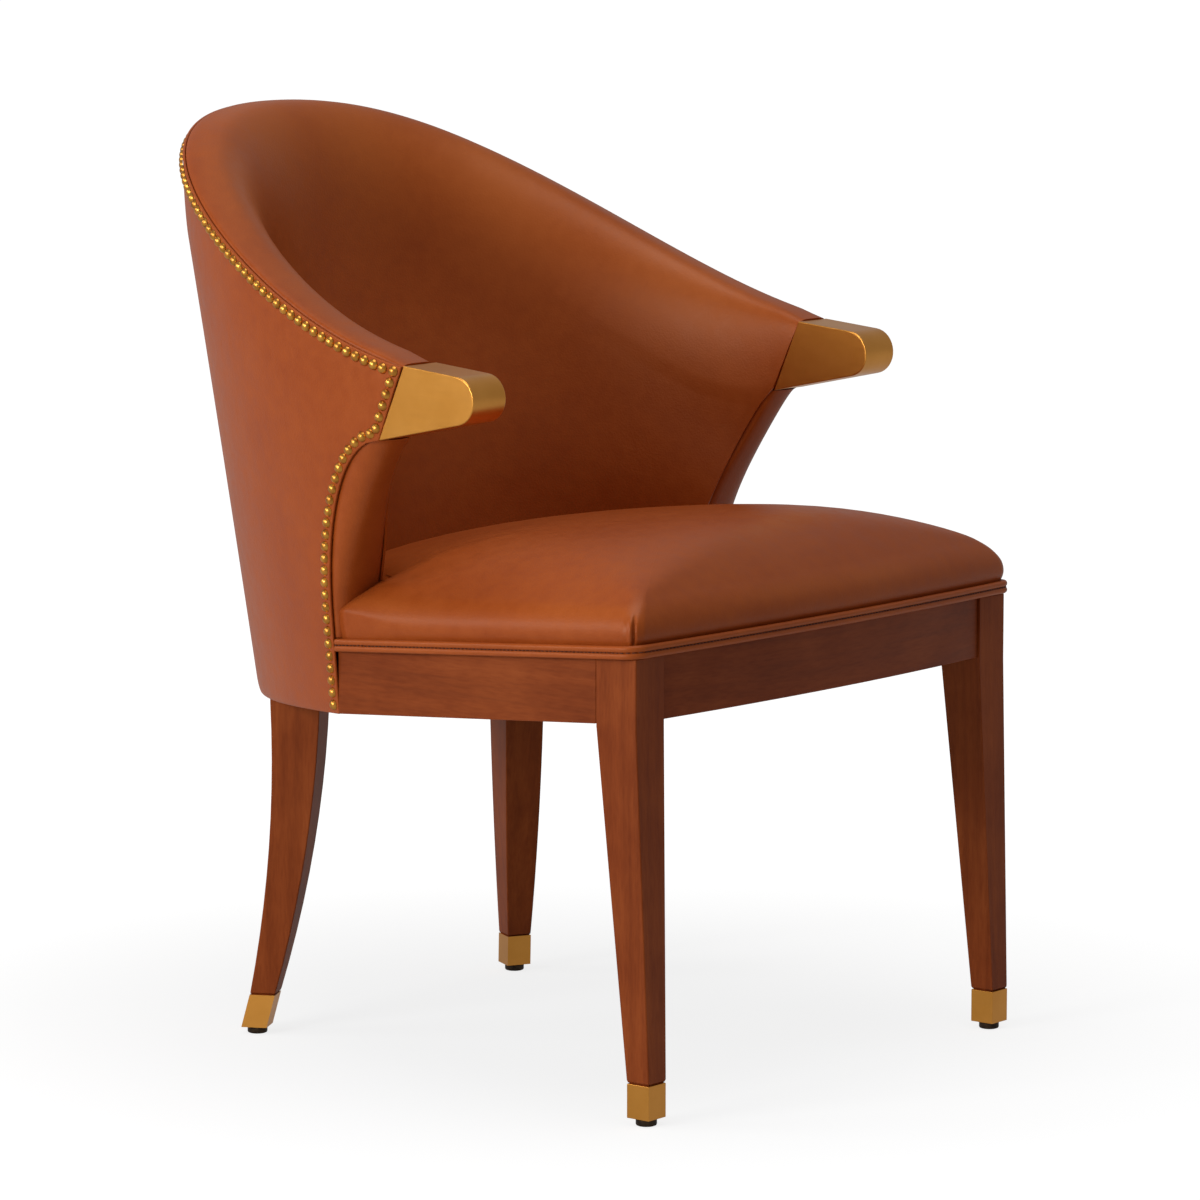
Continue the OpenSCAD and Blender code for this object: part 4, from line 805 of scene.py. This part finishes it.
def seat_rows(inset):
    """The seat's rings: up its side, which bulges a little, round the shoulder on a quadratic
    Bezier curve, and over the crown."""
    rings = [seat_ring(-inset, low_h)]
    low = shoulder_low + low_lift * pulled
    for k in np.linspace(0, 1, side_rows):
        h = np.maximum(mix(1.0, low, k), low_h)
        rings.append(seat_ring(seat_swell * quarter(k) - inset, h))
    peak, top = shoulder_peak + shoulder_lift * pulled, crown_h(top_share) + crown_lift * pulled
    for k in np.linspace(0, 1, shoulder_rows + 1)[1:]:
        h = (1 - k) ** 2 * low + 2 * k * (1 - k) * peak + k * k * top - inset * k
        rings.append(seat_ring(seat_swell * (1 - k * k) - inset, h, drawn_in * k * k, k * k))
    for t in crown_rows:
        h = crown_h(top_share * t) + crown_lift * pulled * t ** 6 - inset
        rings.append(seat_ring(-inset, h, drawn_in, 1.0, t))
    return np.array(rings)


rings = seat_rows(0.0)
# The dart at each front corner is a groove 2.2 mm deep, with a raised lip on its side-facing
# edge. It fades out on the shoulder, which begins at the eighth row.
corner_mid = length[len(front_line) + len(corner_line) // 2]
whole = length[-1] + np.linalg.norm(line[-1] - line[0])
from_dart, from_other = length - corner_mid, whole - corner_mid - length
near = np.where(np.abs(from_dart) < np.abs(from_other), from_dart, from_other)
row = np.arange(len(rings))[:, None]
dart_fade = np.clip((15 - row) / 4, 0, 1) * np.clip(row / 2, 0, 1)
dart = (-2.2 * np.exp(-(near / 1.0) ** 2) + 1.7 * np.exp(-((near - 2.6) / 1.8) ** 2)
        + 0.5 * np.exp(-((near + 2.4) / 1.8) ** 2)) * dart_fade
# Fine ripples run up from the welt beside the corner, and a few folds gather at the facing.
ripple = 0.10 * np.sin(length / 5.5 * 2 * math.pi) * np.exp(-((np.abs(near) - 45) / 30.0) ** 2)
folds = 0.9 * np.sin(to_facing / 8.5 * 2 * math.pi) * np.exp(-to_facing / 16.0)
side_fade = np.exp(-((row - 9) / 6.0) ** 2)
rings[..., :2] += away * (dart + (ripple + folds) * side_fade)[..., None]
# The hide is painted paler round the middle of the shoulder: partly wear, partly a painted highlight
# along it.
rubbing_and_sheen = 0.30 * np.exp(-((row - 15) / 4.0) ** 2) * (0.6 + 0.4 * np.sin(length / 40))


def middle_of(ring):
    """A ring's middle, as a row of as many points."""
    return np.repeat(ring.mean(0, keepdims=True), len(ring), 0)[None]


rings = np.concatenate([rings, middle_of(rings[-1])])
rubbing_and_sheen = np.concatenate([rubbing_and_sheen, rubbing_and_sheen[-1:]])
seat_leather = piece_of_grids("seat_leather", [rings], leather, rubbing_and_sheen, closed=True)
thicken(seat_leather, seat_leather_t, -1.0)
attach(seat_leather, "root")
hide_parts("seat_cover")

# The foam lies under the hide, a little deeper beside the facings, and is flat below.
foam_inset = seat_leather_t + 2 * gap
foam_rows = seat_rows(foam_inset * (1 + 0.8 * pulled))[2:]
floor_ring = seat_ring(-foam_inset, deck_h)
cushion = np.concatenate([middle_of(floor_ring), floor_ring[None], foam_rows,
                          middle_of(foam_rows[-1])])
seat_pad = piece_of_grids("seat_padding", [cushion], foam, closed=True)
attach(seat_pad, "root")
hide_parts("seat_foam")

# --- Double welt ---
# Two cords covered with one strip of hide, with a stitched line between them, glued over the
# lower edge of the seat leather along the front and both sides.
welt_low_h, welt_step = -8.2, 2 * welt_r - 0.1
turns = np.linspace(0, 2 * math.pi, 17)[:-1]
run = np.arange(1 - front_count, front_count)
# Past the seat's last point the strip runs straight on to the edge of the outside leather.
welt_end_y = panel_y - gap - facing_lead * leather_t / wall_low_arm - gap
last = np.stack([np.full(4, seat_x), np.linspace(side_end_y, welt_end_y, 5)[1:]], -1)
path = np.concatenate([last[::-1] * [-1, 1], line[run], last])
normal = np.concatenate([np.tile([-1.0, 0.0], (5, 1)), away[run][1:-1],
                         np.tile([1.0, 0.0], (5, 1))])
# Round the corner the cords swell a little where the strip is eased.
from_corner = np.pad(np.minimum(np.abs(near[run]), 60), 4, constant_values=60)
bulge = 1 + 0.05 * np.exp(-(from_corner / 14.0) ** 2)
from_end = np.minimum(np.arange(len(path)), np.arange(len(path))[::-1])
ends = np.sqrt(1 - np.clip(1 - from_end / 1.5, 0, 1) ** 2)


def welt_cord(h):
    """A closed tube along the seat's outline, at a height over the tilted plane."""
    r = (welt_r * bulge * ends)[:, None]
    out = seat_gap + welt_r + r * np.cos(turns)
    xy = path[:, None] + normal[:, None] * out[..., None]
    z = plane_z(path[:, None, 1] + normal[:, None, 1] * (seat_gap + welt_r), h + r * np.sin(turns))
    return np.concatenate([xy, z[..., None]], -1)[::-1]


cords = [welt_cord(welt_low_h), welt_cord(welt_low_h + welt_step)]
# The outer faces of the cords are painted paler: partly wear, partly a painted highlight.
rubbing_and_sheen = 0.18 * (np.cos(turns) > 0.6) * np.ones((2, len(path), 1))
welt = piece_of_grids("double_welt", cords, leather, rubbing_and_sheen, closed=True)
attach(welt, "root")
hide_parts("seat_welt")

# Waxed polyester thread, dark brown, in stitches 3 mm long that lie in the valley.
thread, tree, shader, place = finish("waxed_thread", Roughness=0.55, IOR=1.5)
twist = add(tree, "TexWave", {"Vector": place, "Scale": 160.0, "Distortion": 1.0},
            bands_direction="DIAGONAL").outputs["Fac"]
lay(tree, shader, ramp(tree, twist, (0.0, "#3a160a"), (1.0, "#6a3018")))
stitch_pitch, stitch_len, stitch_r = 4.2, 3.2, 0.42
travelled = np.concatenate([[0], np.cumsum(np.linalg.norm(np.diff(path, axis=0), axis=1))])
places = np.arange(3, travelled[-1] - 3, stitch_pitch)
# Each stitch has four sections along it: its two pointed ends dip into the leather.
sections = np.array([-0.5, -0.38, 0.38, 0.5])
thickness = np.array([0.0, stitch_r, stitch_r, 0.0])[:, None]
dip = np.array([-1.2, 0.35, 0.35, -1.2])[:, None]
around = np.linspace(0, 2 * math.pi, 7)[:-1]
at = places[:, None] + sections * stitch_len
stitch_xy, stitch_n = (np.stack([np.interp(at, travelled, of[:, i]) for i in (0, 1)], -1)
                       [:, :, None] for of in (path, normal))
out = seat_gap + welt_r + 1.5 + dip + thickness * np.cos(around)
xy = stitch_xy + stitch_n * out[..., None]
z = plane_z(stitch_xy[..., 1] + stitch_n[..., 1] * (seat_gap + welt_r),
            welt_low_h + welt_step / 2 + thickness * np.sin(around))
stitches = np.concatenate([xy, z[..., None]], -1)[:, ::-1]
stitching = piece_of_grids("welt_stitches", stitches, thread, closed=True)
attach(stitching, "root")

# --- Nails ---
# Domed brass upholstery nails, 9.5 mm across, antiqued: the brass has darkened in patches
# of a few millimetres and is rubbed bright between them. They are driven into the rails.
nail_brass, tree, shader, place = finish("antiqued_brass", Metallic=1.0)
tarnish = noise(tree, place, 160.0, 3.0)
lay(tree, shader, ramp(tree, tarnish, (0.30, "#a86a2b"), (0.66, "#df9f46")),
    rough=(tarnish, 0.40, 0.26))
dress(["nails_crest", *pair("nails")], nail_brass)

# --- Arm caps and ferrules ---
# Solid cast brass, milled, with eased edges and a fine brushed satin face under clear lacquer.
# Each cap is held by two studs; the ferrules are folded from sheet and pinned on.
cap_brass, tree, shader, place = finish("satin_brass", Metallic=1.0, Coat_Weight=0.15,
                                        Coat_Roughness=0.3)
# Brush lines are 0.15 mm apart; drawn at 0.7 mm, long in the direction front to back.
brush_place = add(tree, "Mapping", {"Vector": place, "Scale": (1 / 0.0007, 1 / 0.03, 1 / 0.0007)}
                  ).outputs["Vector"]
brushed = noise(tree, brush_place, 1.0, 2.0)
cloudy = noise(tree, place, 45.0, 3.0)
lay(tree, shader, ramp(tree, cloudy, (0.3, "#d9943e"), (0.7, "#e09b45")),
    rough=(brushed, 0.28, 0.40), bump=(brushed, 0.08, 0.0001))
dress(pair("arm_cap"), cap_brass, 1.1)
dress(pair("ferrule_front"), cap_brass, 0.5, 2)
# The rear ones are folded crisply, without eased edges.
dress(pair("ferrule_rear"), cap_brass)

# --- Feet ---
# Each leg ends in a threaded steel insert and a turned glide of bronzed steel, which screws out
# to level the chair.
bronzed, tree, shader, place = finish("bronzed_steel", Metallic=0.8, Roughness=0.5)
worn = noise(tree, place, 220.0, 3.0)
lay(tree, shader, ramp(tree, worn, (0.35, "#2c2119"), (0.7, "#4a3a2a")))
dress(pair("insert_front", "insert_rear"), zinc_steel)
dress(pair("glide_front", "glide_rear"), bronzed)

# --- Dust cover ---
# Black spun-bonded cloth, stapled under the rails, which hangs a few millimetres in the middle.
dust_cloth, tree, shader, place = finish("black_spunbond", Roughness=0.92, IOR=1.45,
                                         Sheen_Weight=0.2)
# The bonded dots are about 1 mm across; drawn at 2 mm.
dots = spots(tree, place, 0.002, Randomness=0.2)
lay(tree, shader, ramp(tree, dots, (0.1, "#141313"), (0.6, "#262424")), bump=(dots, 0.4, 0.0003))
leg_w, leg_d, cloth_t, cloth_sag = 38.0, 40.0, 0.6, 5.0
leg_back_y, back_end_y = leg_front_y + leg_d, wall(straight_back, rail_wall_z, rail_mid)[1]
y = np.concatenate([np.linspace(front_web_y, leg_back_y, 6),
                    np.linspace(leg_back_y + 0.5, panel_y, 26)[:-1],
                    mix(panel_y, back_end_y, quarter(np.linspace(0, 1, 34)))])
bent = wall(turn_at(y, rail_wall_z, rail_mid), rail_wall_z, rail_mid)[:, 0]
half = np.minimum(np.where(y < panel_y, side_web_x, bent), side_web_x)
half = np.where(y <= leg_back_y, leg_outer_x - leg_w, half)
across = np.linspace(-1, 1, 41)
cloth = np.stack(np.broadcast_arrays(across * half[:, None], y[:, None], 0 * across), -1)
depth_share = (y - y[0]) / (y[-1] - y[0])
sag = cloth_sag * (1 - across ** 2) * np.sin(math.pi * depth_share)[:, None]
cloth[..., 2] = plane_z(y[:, None], -rail_h - 0.75) - sag
dust = piece_of_grids("dust_cover_cloth", [cloth[::-1]], dust_cloth)
thicken(dust, cloth_t)
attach(dust, "root")
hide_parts("dust_cover")

# --- Room ---
# A sheet of white paper, two large soft lamps on the left, a third overhead, and even light from
# all round. Paper and background are white only to the eye: reflections see them dimmer.
floor_mesh = bpy.data.meshes.new("floor")
floor_mesh.from_pydata([(-70, -70, 0), (70, -70, 0), (70, 70, 0), (-70, 70, 0)], [], [(0, 1, 2, 3)])
floor = bpy.data.objects.new("floor", floor_mesh)
bpy.context.scene.collection.objects.link(floor)
paper = bpy.data.materials.new("studio_paper")
paper.use_nodes = True
tree = paper.node_tree
tree.nodes.clear()
rays = add(tree, "LightPath").outputs
seen = calc(tree, "MAXIMUM", rays["Is Camera Ray"], rays["Is Glossy Ray"])
seen = calc(tree, "MAXIMUM", seen, rays["Is Transmission Ray"])
# The light falls off away from the chair, so the sheet's own white grows as far as it falls.
off = add(tree, "VectorMath", {0: add(tree, "TexCoord").outputs["Object"]}, operation="LENGTH")
white = add(tree, "MapRange", {"Value": off.outputs["Value"], "From Min": 0.2, "From Max": 1.3,
                               "To Min": 0.81, "To Max": 1.0}, interpolation_type="SMOOTHSTEP")
# Polished pieces see the sheet at four tenths of what the eye does.
mirrored = calc(tree, "MULTIPLY_ADD", rays["Is Glossy Ray"], -0.60, 1.0)
white = calc(tree, "MULTIPLY", white.outputs["Result"], mirrored)
glow = add(tree, "Emission", {"Color": linear("#ffffff"), "Strength": white})
shaded = add(tree, "BsdfDiffuse", {"Color": (0.20, 0.20, 0.20, 1.0)})
shown = add(tree, "AddShader", {0: glow.outputs[0], 1: shaded.outputs[0]})
matt = add(tree, "BsdfDiffuse", {"Color": linear("#e6e6e6")})
both = add(tree, "MixShader", {0: seen, 1: matt.outputs[0], 2: shown.outputs[0]})
add(tree, "OutputMaterial", {"Surface": both.outputs[0]})
floor_mesh.materials.append(paper)

world = bpy.data.worlds.new("studio")
world.use_nodes = True
bpy.context.scene.world = world
tree = world.node_tree
tree.nodes.clear()
rays = add(tree, "LightPath").outputs
seen = calc(tree, "MAXIMUM", rays["Is Camera Ray"], rays["Is Transmission Ray"])
# The even light is 0.20 strong, and reflections see it at 0.36.
lit = calc(tree, "MULTIPLY_ADD", rays["Is Glossy Ray"], 0.16, 0.20)
strength = add(tree, "MapRange", {"Value": seen, "To Min": lit, "To Max": 1.0}).outputs["Result"]
sky = add(tree, "Background", {"Color": linear("#ffffff"), "Strength": strength})
add(tree, "OutputWorld", {"Surface": sky.outputs[0]})


def lamp(name, place, aim, width, height, power):
    """A soft lamp at a place, turned to its aim."""
    data = bpy.data.lights.new(name, "AREA")
    data.shape, data.size, data.size_y, data.energy = "RECTANGLE", width, height, power
    light = bpy.data.objects.new(name, data)
    bpy.context.scene.collection.objects.link(light)
    light.location = place
    light.rotation_euler = (Vector(place) - Vector(aim)).to_track_quat("Z", "Y").to_euler()


lamp("key", (-3.10, 0.45, 1.25), (0, 0, 0.5), 1.3, 1.0, 46)
lamp("side", (-2.30, 2.40, 1.75), (0, 0, 0.5), 1.3, 1.0, 21)
lamp("overhead", (-0.3, -0.3, 3.2), (0, 0, 0.4), 1.8, 1.8, 34)
bpy.context.scene.view_settings.view_transform = "Standard"
